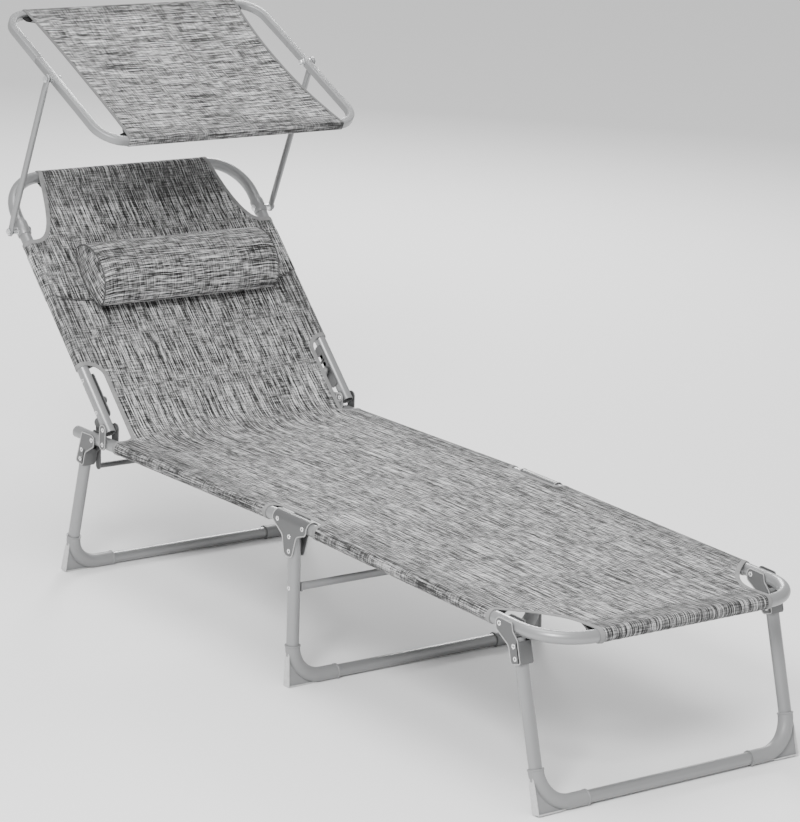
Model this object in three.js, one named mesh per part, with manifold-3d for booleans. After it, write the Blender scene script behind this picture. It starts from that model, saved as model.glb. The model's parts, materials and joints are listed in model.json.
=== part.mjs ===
// Folding sun lounger with a canopy and a bolster pillow. Millimetres, +Z up, foot end towards -Y.
// Each section of the lounger is a group that turns about its own pivot, so the sizes of a piece
// are read in the frame of the section that carries it: +Y along the tubes, +Z out of the sling.
import * as THREE from 'three';
import { mergeVertices } from 'three/addons/utils/BufferGeometryUtils.js';
import Module from 'manifold-3d';

const wasm = await Module();
wasm.setup();

// Round tube, sheet metal and cloth that the whole lounger is made of
const tubeRadius = 11;
const tubeWall = 1.2;
const railHalfWidth = 270;
const plateThickness = 2;
const clearance = 0.3;
const clothThickness = 1;
const clothEase = 0.4;
const sleeveInner = tubeRadius + clothEase;
const sleeveOuter = sleeveInner + clothThickness;
const slingSag = 6;
const cutOverrun = 4;

// Layers beside a tube, measured out from its axis
const outerLayer = tubeRadius + clearance;
const outerFace = outerLayer + plateThickness;

// Rivets
const rivetRadius = 3;
const rivetHeadRadius = 6;
const rivetHeadHeight = 1.8;
const rivetSink = 0.3;

// How the sections stand
const bedHeight = 289.5;
const seatSlopeAngle = 1.4;
const footSlopeAngle = 0.46;
const backrestAngle = 44.2;

// Numbers of sides and steps
const tubeSides = 10;
const boreSides = 6;
const rivetSides = 8;
const bendSteps = 4;
const arcSteps = 4;

const radians = THREE.MathUtils.degToRad;

// Materials
const frameCoat = new THREE.MeshStandardMaterial({ color: 0xb4b5b6, roughness: 0.42, metalness: 0.35 });
const bracketCoat = new THREE.MeshStandardMaterial({ color: 0x8b8c8d, roughness: 0.5, metalness: 0.35 });
const footPlastic = new THREE.MeshStandardMaterial({ color: 0xb1b2b3, roughness: 0.55, metalness: 0 });
const brightSteel = new THREE.MeshStandardMaterial({ color: 0xd4d5d6, roughness: 0.25, metalness: 0.9 });
const slingCloth = new THREE.MeshStandardMaterial({ color: 0x969696, roughness: 0.9, metalness: 0 });

// Scene helpers
const lounger = new THREE.Group();
lounger.name = 'sun_lounger';

function section(parent, name, y, z, angle) {
  const group = new THREE.Group();
  group.name = name;
  group.position.set(0, y, z);
  group.rotation.x = radians(angle);
  parent.add(group);
  return group;
}

function addPiece(group, name, geometry, material) {
  const bare = geometry.clone();
  bare.deleteAttribute('normal');
  bare.deleteAttribute('uv');
  const mesh = new THREE.Mesh(mergeVertices(bare), material);
  mesh.geometry.computeVertexNormals();
  mesh.name = name;
  group.add(mesh);
  return mesh;
}

function heightAboveFloor(group, y, z) {
  lounger.updateMatrixWorld(true);
  return group.localToWorld(new THREE.Vector3(0, y, z)).z;
}

function lean(group) {
  const turned = new THREE.Vector3(0, 1, 0).transformDirection(group.matrixWorld);
  return Math.atan2(turned.z, turned.y);
}

const sides = [
  { word: 'left', sign: -1 },
  { word: 'right', sign: 1 },
];

// Solid helpers
function solid(geometry) {
  const bare = geometry.clone();
  bare.deleteAttribute('normal');
  bare.deleteAttribute('uv');
  const merged = mergeVertices(bare);
  const mesh = new wasm.Mesh({
    numProp: 3,
    vertProperties: new Float32Array(merged.attributes.position.array),
    triVerts: new Uint32Array(merged.index.array),
  });
  return new wasm.Manifold(mesh);
}

function geometryOf(manifold) {
  const mesh = manifold.getMesh();
  const geometry = new THREE.BufferGeometry();
  const places = [];
  for (let i = 0; i < mesh.vertProperties.length; i += mesh.numProp) {
    places.push(mesh.vertProperties[i], mesh.vertProperties[i + 1], mesh.vertProperties[i + 2]);
  }
  geometry.setAttribute('position', new THREE.Float32BufferAttribute(places, 3));
  geometry.setIndex(Array.from(mesh.triVerts));
  return geometry;
}

function cut(geometry, tools) {
  let result = solid(geometry);
  for (const tool of tools) {
    result = result.subtract(solid(tool));
  }
  return geometryOf(result);
}

function join(geometries) {
  let result = solid(geometries[0]);
  for (const other of geometries.slice(1)) {
    result = result.add(solid(other));
  }
  return geometryOf(result);
}

function common(first, second) {
  return geometryOf(solid(first).intersect(solid(second)));
}

// A radius whose polygon stays outside a circle, so that a bore never bites into what it holds
function around(radius, count) {
  return radius / Math.cos(Math.PI / count);
}

function circlePoints(radius, count, centreX = 0, centreY = 0) {
  const points = [];
  for (let i = 0; i < count; i += 1) {
    const turn = (2 * Math.PI * i) / count;
    points.push(new THREE.Vector2(centreX + radius * Math.cos(turn), centreY + radius * Math.sin(turn)));
  }
  return points;
}

function ringShape(outer, inner, count, innerCount = count) {
  const shape = new THREE.Shape(circlePoints(outer, count));
  shape.holes.push(new THREE.Path(circlePoints(inner, innerCount)));
  return shape;
}

// A line of straight runs joined by round bends, sampled only where it bends
class BentLine extends THREE.Curve {
  constructor(corners, steps) {
    super();
    this.points = [corners[0].at.clone()];
    this.tangents = [corners[1].at.clone().sub(corners[0].at).normalize()];
    for (let i = 1; i < corners.length - 1; i += 1) {
      const { at, radius } = corners[i];
      const before = at.clone().sub(corners[i - 1].at).normalize();
      const after = corners[i + 1].at.clone().sub(at).normalize();
      const turn = before.angleTo(after);
      const reach = radius * Math.tan(turn / 2);
      const start = at.clone().addScaledVector(before, -reach);
      const inward = after.clone().addScaledVector(before, -after.dot(before)).normalize();
      for (let k = 0; k <= steps; k += 1) {
        const angle = (turn * k) / steps;
        const point = start.clone().addScaledVector(before, radius * Math.sin(angle));
        point.addScaledVector(inward, radius * (1 - Math.cos(angle)));
        const tangent = before.clone().multiplyScalar(Math.cos(angle));
        tangent.addScaledVector(inward, Math.sin(angle));
        this.points.push(point);
        this.tangents.push(tangent.normalize());
      }
    }
    const last = corners.length - 1;
    this.points.push(corners[last].at.clone());
    this.tangents.push(corners[last].at.clone().sub(corners[last - 1].at).normalize());
  }

  get steps() {
    return this.points.length - 1;
  }

  getPoint(t, target = new THREE.Vector3()) {
    const place = t * this.steps;
    const i = Math.min(Math.floor(place), this.steps - 1);
    return target.lerpVectors(this.points[i], this.points[i + 1], place - i);
  }

  getTangent(t, target = new THREE.Vector3()) {
    return target.copy(this.tangents[Math.round(t * this.steps)]);
  }

  getUtoTmapping(u) {
    return u;
  }
}

function corner(x, y, z, radius = 0) {
  return { at: new THREE.Vector3(x, y, z), radius };
}

function sweep(shape, corners, steps = bendSteps) {
  const line = new BentLine(corners, steps);
  return new THREE.ExtrudeGeometry(shape, { extrudePath: line, steps: line.steps });
}

function tube(corners, radius = tubeRadius, bore = tubeRadius - tubeWall) {
  return sweep(ringShape(radius, bore, tubeSides, boreSides), corners);
}

function extrude(shape, depth) {
  return new THREE.ExtrudeGeometry(shape, { depth, bevelEnabled: false, curveSegments: arcSteps });
}

// An outline in the (y, z) plane, made into a plate from x = from to x = to
function plateAcross(shape, from, to) {
  const geometry = extrude(shape, to - from);
  const turn = new THREE.Matrix4().makeBasis(
    new THREE.Vector3(0, 1, 0),
    new THREE.Vector3(0, 0, 1),
    new THREE.Vector3(1, 0, 0),
  );
  geometry.applyMatrix4(turn);
  geometry.translate(from, 0, 0);
  return geometry;
}

// The same for a plate on one side of the lounger: near and far are distances from the middle plane
function sidePlate(shape, sign, near, far) {
  return sign > 0 ? plateAcross(shape, near, far) : plateAcross(shape, -far, -near);
}

// An outline in the (x, y) plane, made into a prism from z = from to z = to
function prismUp(shape, from, to) {
  const geometry = extrude(shape, to - from);
  geometry.translate(0, 0, from);
  return geometry;
}

// A solid bar along x
function crossBar(from, to, y, z, radius, count = rivetSides) {
  const geometry = new THREE.CylinderGeometry(radius, radius, Math.abs(to - from), count);
  geometry.rotateZ(Math.PI / 2);
  geometry.translate((from + to) / 2, y, z);
  return geometry;
}

function drill(sign, near, far, y, z, radius = rivetRadius) {
  return crossBar(sign * near, sign * far, y, z, around(radius + clearance, rivetSides));
}

// A rivet along x from its inner end to its outer end, with a head on either end or on both
function rivet(sign, near, far, y, z, heads = { near: true, far: true }, headRadius = rivetHeadRadius) {
  const profile = [new THREE.Vector2(0, near)];
  if (heads.near) {
    profile.push(new THREE.Vector2(headRadius, near + rivetHeadHeight));
    profile.push(new THREE.Vector2(rivetRadius, near + rivetHeadHeight));
  } else {
    profile.push(new THREE.Vector2(rivetRadius, near));
  }
  if (heads.far) {
    profile.push(new THREE.Vector2(rivetRadius, far - rivetHeadHeight));
    profile.push(new THREE.Vector2(headRadius, far - rivetHeadHeight));
  } else {
    profile.push(new THREE.Vector2(rivetRadius, far));
  }
  profile.push(new THREE.Vector2(0, far));
  const geometry = new THREE.LatheGeometry(profile, rivetSides);
  geometry.rotateZ(-Math.PI / 2);
  if (sign < 0) {
    geometry.rotateZ(Math.PI);
  }
  geometry.translate(0, y, z);
  return geometry;
}

// Ends of a rivet that is one piece with the plates beside a tube: its heads sink into them a little
function fixedRivet(sign, y, z) {
  const near = innerEarNear - rivetHeadHeight + rivetSink;
  const far = outerEarFar + rivetHeadHeight - rivetSink;
  return rivet(sign, near, far, y, z);
}

// A rivet that a section turns on, clear of the plates at both ends
function pivotRivet(sign, y, z, near = innerHeadNear) {
  return rivet(sign, near, outerHeadFar, y, z);
}

// A thin closed solid over a grid: place(u, v) gives its upper face for u and v from 0 to 1
function sheet(columns, rows, thickness, place) {
  const places = [];
  const faces = [];
  const across = columns + 1;
  const layer = across * (rows + 1);
  for (const drop of [0, thickness]) {
    for (let j = 0; j <= rows; j += 1) {
      for (let i = 0; i <= columns; i += 1) {
        const point = place(i / columns, j / rows);
        places.push(point.x, point.y, point.z - drop);
      }
    }
  }
  const quad = (a, b, c, d) => faces.push(a, b, c, a, c, d);
  for (let j = 0; j < rows; j += 1) {
    for (let i = 0; i < columns; i += 1) {
      const a = j * across + i;
      quad(a, a + 1, a + across + 1, a + across);
      quad(layer + a, layer + a + across, layer + a + across + 1, layer + a + 1);
    }
  }
  for (let i = 0; i < columns; i += 1) {
    const far = rows * across + i;
    quad(i + 1, i, layer + i, layer + i + 1);
    quad(far, far + 1, layer + far + 1, layer + far);
  }
  for (let j = 0; j < rows; j += 1) {
    const near = j * across;
    const far = near + columns;
    quad(near, near + across, layer + near + across, layer + near);
    quad(far + across, far, layer + far, layer + far + across);
  }
  const geometry = new THREE.BufferGeometry();
  geometry.setAttribute('position', new THREE.Float32BufferAttribute(places, 3));
  geometry.setIndex(faces);
  return geometry;
}

// A closed solid through loops that all have the same number of points, with a point over each end
function loft(loops, firstTip, lastTip) {
  const count = loops[0].length;
  const places = [];
  const faces = [];
  for (const loop of loops) {
    for (const point of loop) {
      places.push(point.x, point.y, point.z);
    }
  }
  const first = loops.length * count;
  const last = first + 1;
  places.push(firstTip.x, firstTip.y, firstTip.z, lastTip.x, lastTip.y, lastTip.z);
  for (let j = 0; j < loops.length - 1; j += 1) {
    for (let i = 0; i < count; i += 1) {
      const next = (i + 1) % count;
      const a = j * count + i;
      const b = j * count + next;
      faces.push(a, b, b + count, a, b + count, a + count);
    }
  }
  const end = (loops.length - 1) * count;
  for (let i = 0; i < count; i += 1) {
    const next = (i + 1) % count;
    faces.push(first, next, i);
    faces.push(last, end + i, end + next);
  }
  const geometry = new THREE.BufferGeometry();
  geometry.setAttribute('position', new THREE.Float32BufferAttribute(places, 3));
  geometry.setIndex(faces);
  return geometry;
}

// A round-ended outline about two or more centres, each with its own radius
function roundedOutline(stops) {
  const shape = new THREE.Shape();
  const count = stops.length;
  const arcs = stops.map((stop, i) => {
    const before = stops[(i + count - 1) % count];
    const after = stops[(i + 1) % count];
    return { stop, from: tangentAngle(before, stop), to: tangentAngle(stop, after) };
  });
  arcs.forEach(({ stop, from, to }, i) => {
    const x = stop.y + stop.radius * Math.cos(from);
    const y = stop.z + stop.radius * Math.sin(from);
    if (i === 0) {
      shape.moveTo(x, y);
    } else {
      shape.lineTo(x, y);
    }
    shape.absarc(stop.y, stop.z, stop.radius, from, to, false);
  });
  return shape;
}

// The direction, from a centre, in which the common tangent of two circles touches them
function tangentAngle(first, second) {
  const along = Math.atan2(second.z - first.z, second.y - first.y);
  const distance = Math.hypot(second.y - first.y, second.z - first.z);
  const flare = Math.asin((first.radius - second.radius) / distance);
  return along - Math.PI / 2 + flare;
}

function holeIn(shape, y, z, radius = rivetRadius) {
  shape.holes.push(new THREE.Path(circlePoints(around(radius + clearance, rivetSides), rivetSides, y, z)));
}

// The sling's height over the tube axes: level with the sleeves at the sides, lower in the middle
function slingHeight(share) {
  return sleeveOuter - slingSag * (1 - share * share);
}

function sideSleeve(sign, from, to) {
  const ring = ringShape(sleeveOuter, around(sleeveInner, tubeSides), tubeSides);
  return sweep(ring, [corner(sign * railHalfWidth, from, 0), corner(sign * railHalfWidth, to, 0)]);
}

function barSleeve(halfWidth, y, inner = sleeveInner, outer = sleeveOuter) {
  const ring = ringShape(outer, around(inner, tubeSides), tubeSides);
  return sweep(ring, [corner(-halfWidth, y, 0), corner(halfWidth, y, 0)]);
}

// An outline in the (x, y) plane, mirrored for the other side
function mirrored(points, sign) {
  return new THREE.Shape(points.map(([x, y]) => new THREE.Vector2(sign * x, y)));
}

// Where the sections are hung
const seatLength = 648;
const saddlePivotSpacing = 71;
const hingeFromEnd = 101.5;
const hingePlace = seatLength - hingeFromEnd;
const hingeRise = 27.5;
const rearPivotFromHinge = 36.5;
const rearPivotPlace = hingePlace + rearPivotFromHinge;
const stayPivotFromHinge = 61.1;
const stayPivotPlace = hingePlace + stayPivotFromHinge;
const stayPivotRise = 24.4;
const footLength = 646;
const frontPivotFromBar = 118.4;
const backrestLength = 550;
const spliceFromBar = 98;
const splicePlace = backrestLength - spliceFromBar;
const canopyBoltFromSplice = 14.5;
const canopyBoltPlace = splicePlace - canopyBoltFromSplice;
const canopyArmLength = 324;
const canopyArmAngle = 65.5;
const canopyPitchAngle = 25;
const frontLeanAngle = -17.7;
const middleLeanAngle = -3;
const rearLeanAngle = 11.1;

const seat = section(lounger, 'seat_section', 0, bedHeight, -seatSlopeAngle);
const middle = section(seat, 'middle_legs', 0, 0, seatSlopeAngle);
const foot = section(middle, 'foot_section', -saddlePivotSpacing, 0, footSlopeAngle);
const frontPivotPlace = frontPivotFromBar - footLength;
const frontLegs = section(foot, 'front_legs', frontPivotPlace, 0, frontLeanAngle - footSlopeAngle);
const rearLegs = section(seat, 'rear_legs', rearPivotPlace, 0, rearLeanAngle + seatSlopeAngle);
const backrest = section(seat, 'backrest', hingePlace, hingeRise, backrestAngle + seatSlopeAngle);
const stay = section(seat, 'stay', stayPivotPlace, stayPivotRise, seatSlopeAngle);
const canopyArms = section(backrest, 'canopy_arms', canopyBoltPlace, 0, canopyArmAngle);
const canopyTurn = canopyPitchAngle - backrestAngle - canopyArmAngle;
const canopy = section(canopyArms, 'canopy', canopyArmLength, 0, canopyTurn);
const pillow = section(backrest, 'pillow', 0, 0, 0);

// Side layers as distances from the middle plane
const tubeInside = railHalfWidth - tubeRadius;
const innerEarFar = tubeInside - clearance;
const innerEarNear = innerEarFar - plateThickness;
const innerHeadNear = innerEarNear - clearance - rivetHeadHeight;
const outerEarNear = railHalfWidth + outerLayer;
const outerEarFar = railHalfWidth + outerFace;
const outerHeadFar = outerEarFar + clearance + rivetHeadHeight;

// Inner hinge plates stand one layer further in, past the racks
const hingeFar = innerEarNear - clearance;
const hingeNear = hingeFar - plateThickness;
const hingeHeadNear = hingeNear - clearance - rivetHeadHeight;
const stayFar = hingeNear - clearance;
const stayThickness = 3;
const stayNear = stayFar - stayThickness;

// Seat rails: hollow, drilled for the rivets, with their front ends rounded about the saddle's rivets
const railEndRadius = tubeRadius;
const ballSides = 10;
const ballSteps = 3;

// What is cut away beyond a pivot so that the tube ends in a ball, which turns under the saddle's arch.
// direction is the way from the pivot to the end.
function ballEnd(sign, direction) {
  const profile = [new THREE.Vector2(0, -railEndRadius)];
  for (let k = 1; k <= ballSteps; k += 1) {
    const turn = (k * Math.PI) / 2 / ballSteps;
    profile.push(new THREE.Vector2(railEndRadius * Math.sin(turn), -railEndRadius * Math.cos(turn)));
  }
  profile.push(new THREE.Vector2(railEndRadius, cutOverrun));
  profile.push(new THREE.Vector2(0, cutOverrun));
  const ball = new THREE.LatheGeometry(profile, ballSides);
  const size = 2 * (railEndRadius + cutOverrun);
  const block = new THREE.BoxGeometry(size, size / 2, size);
  block.translate(0, -size / 4, 0);
  const tool = cut(block, [ball]);
  if (direction > 0) {
    tool.rotateZ(Math.PI);
  }
  tool.translate(sign * railHalfWidth, 0, 0);
  return tool;
}

function holesThroughTube(sign, places) {
  const near = tubeInside - cutOverrun;
  const far = railHalfWidth + tubeRadius + cutOverrun;
  return places.map(([y, z]) => drill(sign, near, far, y, z));
}

for (const { word, sign } of sides) {
  const x = sign * railHalfWidth;
  const whole = tube([corner(x, -railEndRadius, 0), corner(x, seatLength, 0)]);
  const holes = holesThroughTube(sign, [[0, 0], [hingePlace, 0], [rearPivotPlace, 0]]);
  const rail = cut(whole, [ballEnd(sign, -1), ...holes]);
  addPiece(seat, `seat_rail_${word}`, rail, frameCoat);
}

// Caps in the rails' rear ends
const capLength = 3;
const capPlugLength = 12;
const capPlugRadius = tubeRadius - tubeWall - clearance;
for (const { word, sign } of sides) {
  const plugAcross = capPlugRadius * Math.cos(Math.PI / boreSides);
  const profile = [
    new THREE.Vector2(0, -capPlugLength),
    new THREE.Vector2(plugAcross, -capPlugLength),
    new THREE.Vector2(plugAcross, clearance),
    new THREE.Vector2(tubeRadius, clearance),
    new THREE.Vector2(tubeRadius, capLength / 2),
    new THREE.Vector2(tubeRadius - capLength / 2, capLength),
    new THREE.Vector2(0, capLength),
  ];
  const cap = new THREE.LatheGeometry(profile, tubeSides);
  cap.translate(sign * railHalfWidth, seatLength, 0);
  addPiece(seat, `rail_end_cap_${word}`, cap, footPlastic);
}

// Hinge plates
const hingeEndRadius = 10.5;
const stayLugRadius = 8;
const washerRadius = 7;

function hingePlate(holeRises) {
  const shape = roundedOutline([
    { y: hingePlace, z: 0, radius: hingeEndRadius },
    { y: hingePlace, z: hingeRise, radius: hingeEndRadius },
  ]);
  for (const z of holeRises) {
    holeIn(shape, hingePlace, z);
  }
  return shape;
}

function innerHingeLug() {
  return roundedOutline([
    { y: hingePlace, z: hingeRise, radius: stayLugRadius },
    { y: stayPivotPlace, z: stayPivotRise, radius: stayLugRadius },
  ]);
}

// The inner plate is one piece with its two spacing washers and the rivet that holds it to the rail
function innerHingePlate(sign) {
  const washerNear = sign * (hingeFar - rivetSink);
  const washers = [0, hingeRise].map((z) => (
    crossBar(washerNear, sign * innerEarFar, hingePlace, z, washerRadius, tubeSides)
  ));
  const body = join([
    sidePlate(hingePlate([hingeRise]), sign, hingeNear, hingeFar),
    sidePlate(innerHingeLug(), sign, hingeNear, hingeFar),
    ...washers,
  ]);
  const drillNear = hingeNear - cutOverrun;
  const drillFar = innerEarFar + cutOverrun;
  const drilled = cut(body, [
    drill(sign, drillNear, drillFar, hingePlace, hingeRise),
    drill(sign, drillNear, drillFar, stayPivotPlace, stayPivotRise),
  ]);
  const railRivet = rivet(sign, hingeNear - rivetHeadHeight + rivetSink, outerHeadFar, hingePlace, 0);
  return join([drilled, railRivet]);
}

for (const { word, sign } of sides) {
  const outer = sidePlate(hingePlate([0, hingeRise]), sign, outerEarNear, outerEarFar);
  addPiece(seat, `hinge_plate_outer_${word}`, outer, bracketCoat);
  addPiece(seat, `hinge_plate_inner_${word}`, innerHingePlate(sign), bracketCoat);
  addPiece(seat, `hinge_pivot_${word}`, pivotRivet(sign, hingePlace, hingeRise, hingeHeadNear), brightSteel);
  const stayHeadNear = stayNear - clearance - rivetHeadHeight;
  const stayPivot = rivet(sign, stayHeadNear, hingeFar, stayPivotPlace, stayPivotRise, { near: true });
  addPiece(seat, `stay_pivot_${word}`, stayPivot, brightSteel);
}

// Seat part of the sling
const saddleCutDepth = 26;
const saddleCutInside = railHalfWidth - saddleCutDepth;
const hingeCutDepth = 32;
const hingeCutInside = railHalfWidth - hingeCutDepth;
const seatSleeveStart = 38;
const hingeToSleeve = 32.5;
const seatSleeveEnd = hingePlace - hingeToSleeve;
const seatClothStart = 1;
const hingeToCloth = 20.5;
const seatClothEnd = hingePlace - hingeToCloth;
const clothColumns = 8;

function flatSling(start, end, rows, sagAt = () => 1) {
  return sheet(clothColumns, rows, clothThickness, (u, v) => {
    const share = 2 * u - 1;
    const y = start + (end - start) * v;
    const z = sleeveOuter - (sleeveOuter - slingHeight(share)) * sagAt(v);
    return new THREE.Vector3(share * railHalfWidth, y, z);
  });
}

function clothCut(shape) {
  return prismUp(shape, -sleeveOuter - cutOverrun, sleeveOuter + cutOverrun);
}

const clothOutside = railHalfWidth + sleeveOuter + cutOverrun;
const cutSlant = 10;
const seatCuts = sides.flatMap(({ sign }) => [
  clothCut(mirrored([
    [clothOutside, seatClothStart - cutOverrun],
    [saddleCutInside, seatClothStart - cutOverrun],
    [saddleCutInside, seatSleeveStart - cutSlant],
    [railHalfWidth - sleeveOuter, seatSleeveStart],
    [clothOutside, seatSleeveStart],
  ], sign)),
  clothCut(mirrored([
    [clothOutside, seatSleeveEnd],
    [railHalfWidth - sleeveOuter, seatSleeveEnd],
    [hingeCutInside, seatSleeveEnd + cutSlant],
    [hingeCutInside, seatClothEnd + cutOverrun],
    [clothOutside, seatClothEnd + cutOverrun],
  ], sign)),
]);
const seatSling = join([
  cut(flatSling(seatClothStart, seatClothEnd, 1), seatCuts),
  ...sides.map(({ sign }) => sideSleeve(sign, seatSleeveStart, seatSleeveEnd)),
]);
addPiece(seat, 'seat_sling', seatSling, slingCloth);

// Middle legs: saddles, leg frame, brace and feet
const saddleFrontReach = 12;
const saddleRearReach = 14;
const saddleTabDrop = 58;
const saddleTabRadius = 10;
const saddleThroatDrop = 23;
const saddleThroatRadius = 14;
const saddleSkirt = 9;
const middleAxis = -saddlePivotSpacing / 2;
const saddleRivetDrop = 23;
const legRivetSpacing = 25.5;

function archShape() {
  const shape = new THREE.Shape();
  const drop = saddleTabDrop + saddleTabRadius + cutOverrun;
  const inside = outerLayer;
  shape.moveTo(outerFace, -drop);
  shape.lineTo(outerFace, 0);
  shape.absarc(0, 0, outerFace, 0, Math.PI, false);
  shape.lineTo(-outerFace, -drop);
  shape.lineTo(-inside, -drop);
  shape.lineTo(-inside, 0);
  shape.absarc(0, 0, around(inside, 2 * arcSteps), Math.PI, 0, true);
  shape.lineTo(inside, -drop);
  return shape;
}

function saddleOutline() {
  const left = -saddlePivotSpacing - saddleFrontReach;
  const right = saddleRearReach;
  const top = outerFace + cutOverrun;
  const shape = new THREE.Shape();
  shape.moveTo(left, -saddleSkirt / 2);
  shape.lineTo(-saddlePivotSpacing - saddleSkirt, -saddleSkirt);
  shape.lineTo(middleAxis - saddleThroatRadius, -saddleThroatDrop - saddleSkirt);
  shape.lineTo(middleAxis - saddleTabRadius, -saddleTabDrop + saddleTabRadius);
  shape.absarc(middleAxis, -saddleTabDrop + saddleTabRadius, saddleTabRadius, Math.PI, 2 * Math.PI, false);
  shape.lineTo(middleAxis + saddleThroatRadius, -saddleThroatDrop - saddleSkirt);
  shape.lineTo(saddleSkirt, -saddleSkirt);
  shape.lineTo(right, -saddleSkirt / 2);
  shape.lineTo(right, top);
  shape.lineTo(left, top);
  return shape;
}

function saddle(sign) {
  const start = -saddlePivotSpacing - saddleFrontReach - cutOverrun;
  const length = saddlePivotSpacing + saddleFrontReach + saddleRearReach + 2 * cutOverrun;
  const channel = extrude(archShape(), length);
  channel.rotateX(Math.PI / 2);
  channel.rotateZ(Math.PI);
  channel.translate(sign * railHalfWidth, start, 0);
  const near = railHalfWidth - outerFace - cutOverrun;
  const far = railHalfWidth + outerFace + cutOverrun;
  const body = common(channel, sidePlate(saddleOutline(), sign, near, far));
  const drilled = cut(body, [drill(sign, near, far, 0, 0), drill(sign, near, far, -saddlePivotSpacing, 0)]);
  const lowerY = middleAxis + legRivetSpacing * Math.sin(radians(middleLeanAngle));
  const lowerZ = -saddleRivetDrop - legRivetSpacing * Math.cos(radians(middleLeanAngle));
  const rivets = [fixedRivet(sign, middleAxis, -saddleRivetDrop), fixedRivet(sign, lowerY, lowerZ)];
  return join([drilled, ...rivets]);
}

for (const { word, sign } of sides) {
  addPiece(middle, `saddle_${word}`, saddle(sign), bracketCoat);
  addPiece(middle, `seat_rail_pivot_${word}`, pivotRivet(sign, 0, 0), brightSteel);
  addPiece(middle, `foot_rail_pivot_${word}`, pivotRivet(sign, -saddlePivotSpacing, 0), brightSteel);
}

// Leg frames and feet. A leg plane is the tilted frame that a bent leg tube lies in: its z axis
// runs up the legs and its y axis is square to them.
const legBendRadius = 60;
const footSleeveRadius = 13;
const footSleeveUp = legBendRadius + 2;
const footSleeveAlong = legBendRadius + 34;
const footWebHalfThickness = 3;
const footCornerReach = 12;
const footCornerRound = 1.5;
const footFlat = 1;
const footStand = footSleeveRadius - footFlat;

// Distance from a leg plane's origin down to the bottom bar, so that its feet stand on the floor
function legDrop(group, offset) {
  const height = heightAboveFloor(group, offset, 0);
  return (height - footStand) / Math.cos(lean(group));
}

// What is cut off under the bottom bar, so that the feet of a leaning leg plane stand flat
function belowFeet(group, offset, drop) {
  const half = railHalfWidth + footCornerReach + cutOverrun;
  const depth = footSleeveRadius + cutOverrun;
  const block = new THREE.BoxGeometry(2 * half, 2 * depth, depth);
  block.translate(0, 0, -footStand - depth / 2);
  block.rotateX(-lean(group));
  block.translate(0, offset, -drop);
  return block;
}

function legFrame(offset, top, drop, holes) {
  const x = railHalfWidth;
  const frame = tube([
    corner(-x, offset, top),
    corner(-x, offset, -drop, legBendRadius),
    corner(x, offset, -drop, legBendRadius),
    corner(x, offset, top),
  ]);
  const drills = sides.flatMap(({ sign }) => holesThroughTube(sign, holes.map((z) => [offset, z])));
  return cut(frame, drills);
}

function legFoot(sign, offset, drop, ground) {
  const x = sign * railHalfWidth;
  const ring = ringShape(footSleeveRadius, around(tubeRadius + clearance, tubeSides), tubeSides);
  const sleeve = sweep(ring, [
    corner(x, offset, footSleeveUp - drop),
    corner(x, offset, -drop, legBendRadius),
    corner(x - sign * footSleeveAlong, offset, -drop),
  ]);
  const shape = new THREE.Shape();
  const outside = railHalfWidth + footCornerReach;
  const bottom = -drop - footCornerReach;
  const centreX = railHalfWidth - legBendRadius;
  const centreZ = legBendRadius - drop;
  const webRadius = legBendRadius + footCornerReach;
  shape.moveTo(outside, centreZ);
  shape.absarc(centreX, centreZ, webRadius, 0, -Math.PI / 2, true);
  shape.lineTo(outside - footCornerRound, bottom);
  shape.lineTo(outside, bottom + footCornerRound);
  const web = extrude(shape, 2 * footWebHalfThickness);
  web.rotateX(Math.PI / 2);
  web.translate(0, offset + footWebHalfThickness, 0);
  if (sign < 0) {
    web.rotateZ(Math.PI);
    web.translate(0, 2 * offset, 0);
  }
  return cut(join([sleeve, web]), [ground]);
}

function addLegs(group, word, offset, top, holes) {
  const drop = legDrop(group, offset);
  const ground = belowFeet(group, offset, drop);
  addPiece(group, `${word}_leg_frame`, legFrame(offset, top, drop, holes), frameCoat);
  for (const side of sides) {
    addPiece(group, `${word}_foot_${side.word}`, legFoot(side.sign, offset, drop, ground), footPlastic);
  }
}

const middlePlane = section(middle, 'middle_leg_plane', middleAxis, -saddleRivetDrop, middleLeanAngle);
const middleTop = 11;
const braceDrop = 91;
addLegs(middlePlane, 'middle', 0, middleTop, [0, -legRivetSpacing, -braceDrop]);

// Flat brace between the middle legs, with a lug at each end that the rivet goes through
const braceHalfHeight = 7;
const braceHalfThickness = 3;
const braceLugHalf = 8;
const braceLugThickness = 2;
const braceLugFar = innerEarFar;
const braceLugNear = braceLugFar - braceLugThickness;
const braceBar = new THREE.BoxGeometry(2 * braceLugFar, 2 * braceHalfThickness, 2 * braceHalfHeight);
braceBar.translate(0, 0, -braceDrop);
const braceLugs = sides.map(({ sign }) => {
  const lug = new THREE.BoxGeometry(braceLugThickness, 2 * braceLugHalf, 2 * braceLugHalf);
  lug.translate(sign * (braceLugNear + braceLugFar) / 2, 0, -braceDrop);
  return lug;
});
const braceRivetNear = braceLugNear - rivetHeadHeight + rivetSink;
const braceRivetFar = railHalfWidth + tubeRadius + clearance + rivetHeadHeight;
const braceRivets = sides.map(({ sign }) => rivet(sign, braceRivetNear, braceRivetFar, 0, -braceDrop));
addPiece(middlePlane, 'middle_brace', join([braceBar, ...braceLugs, ...braceRivets]), frameCoat);

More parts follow.
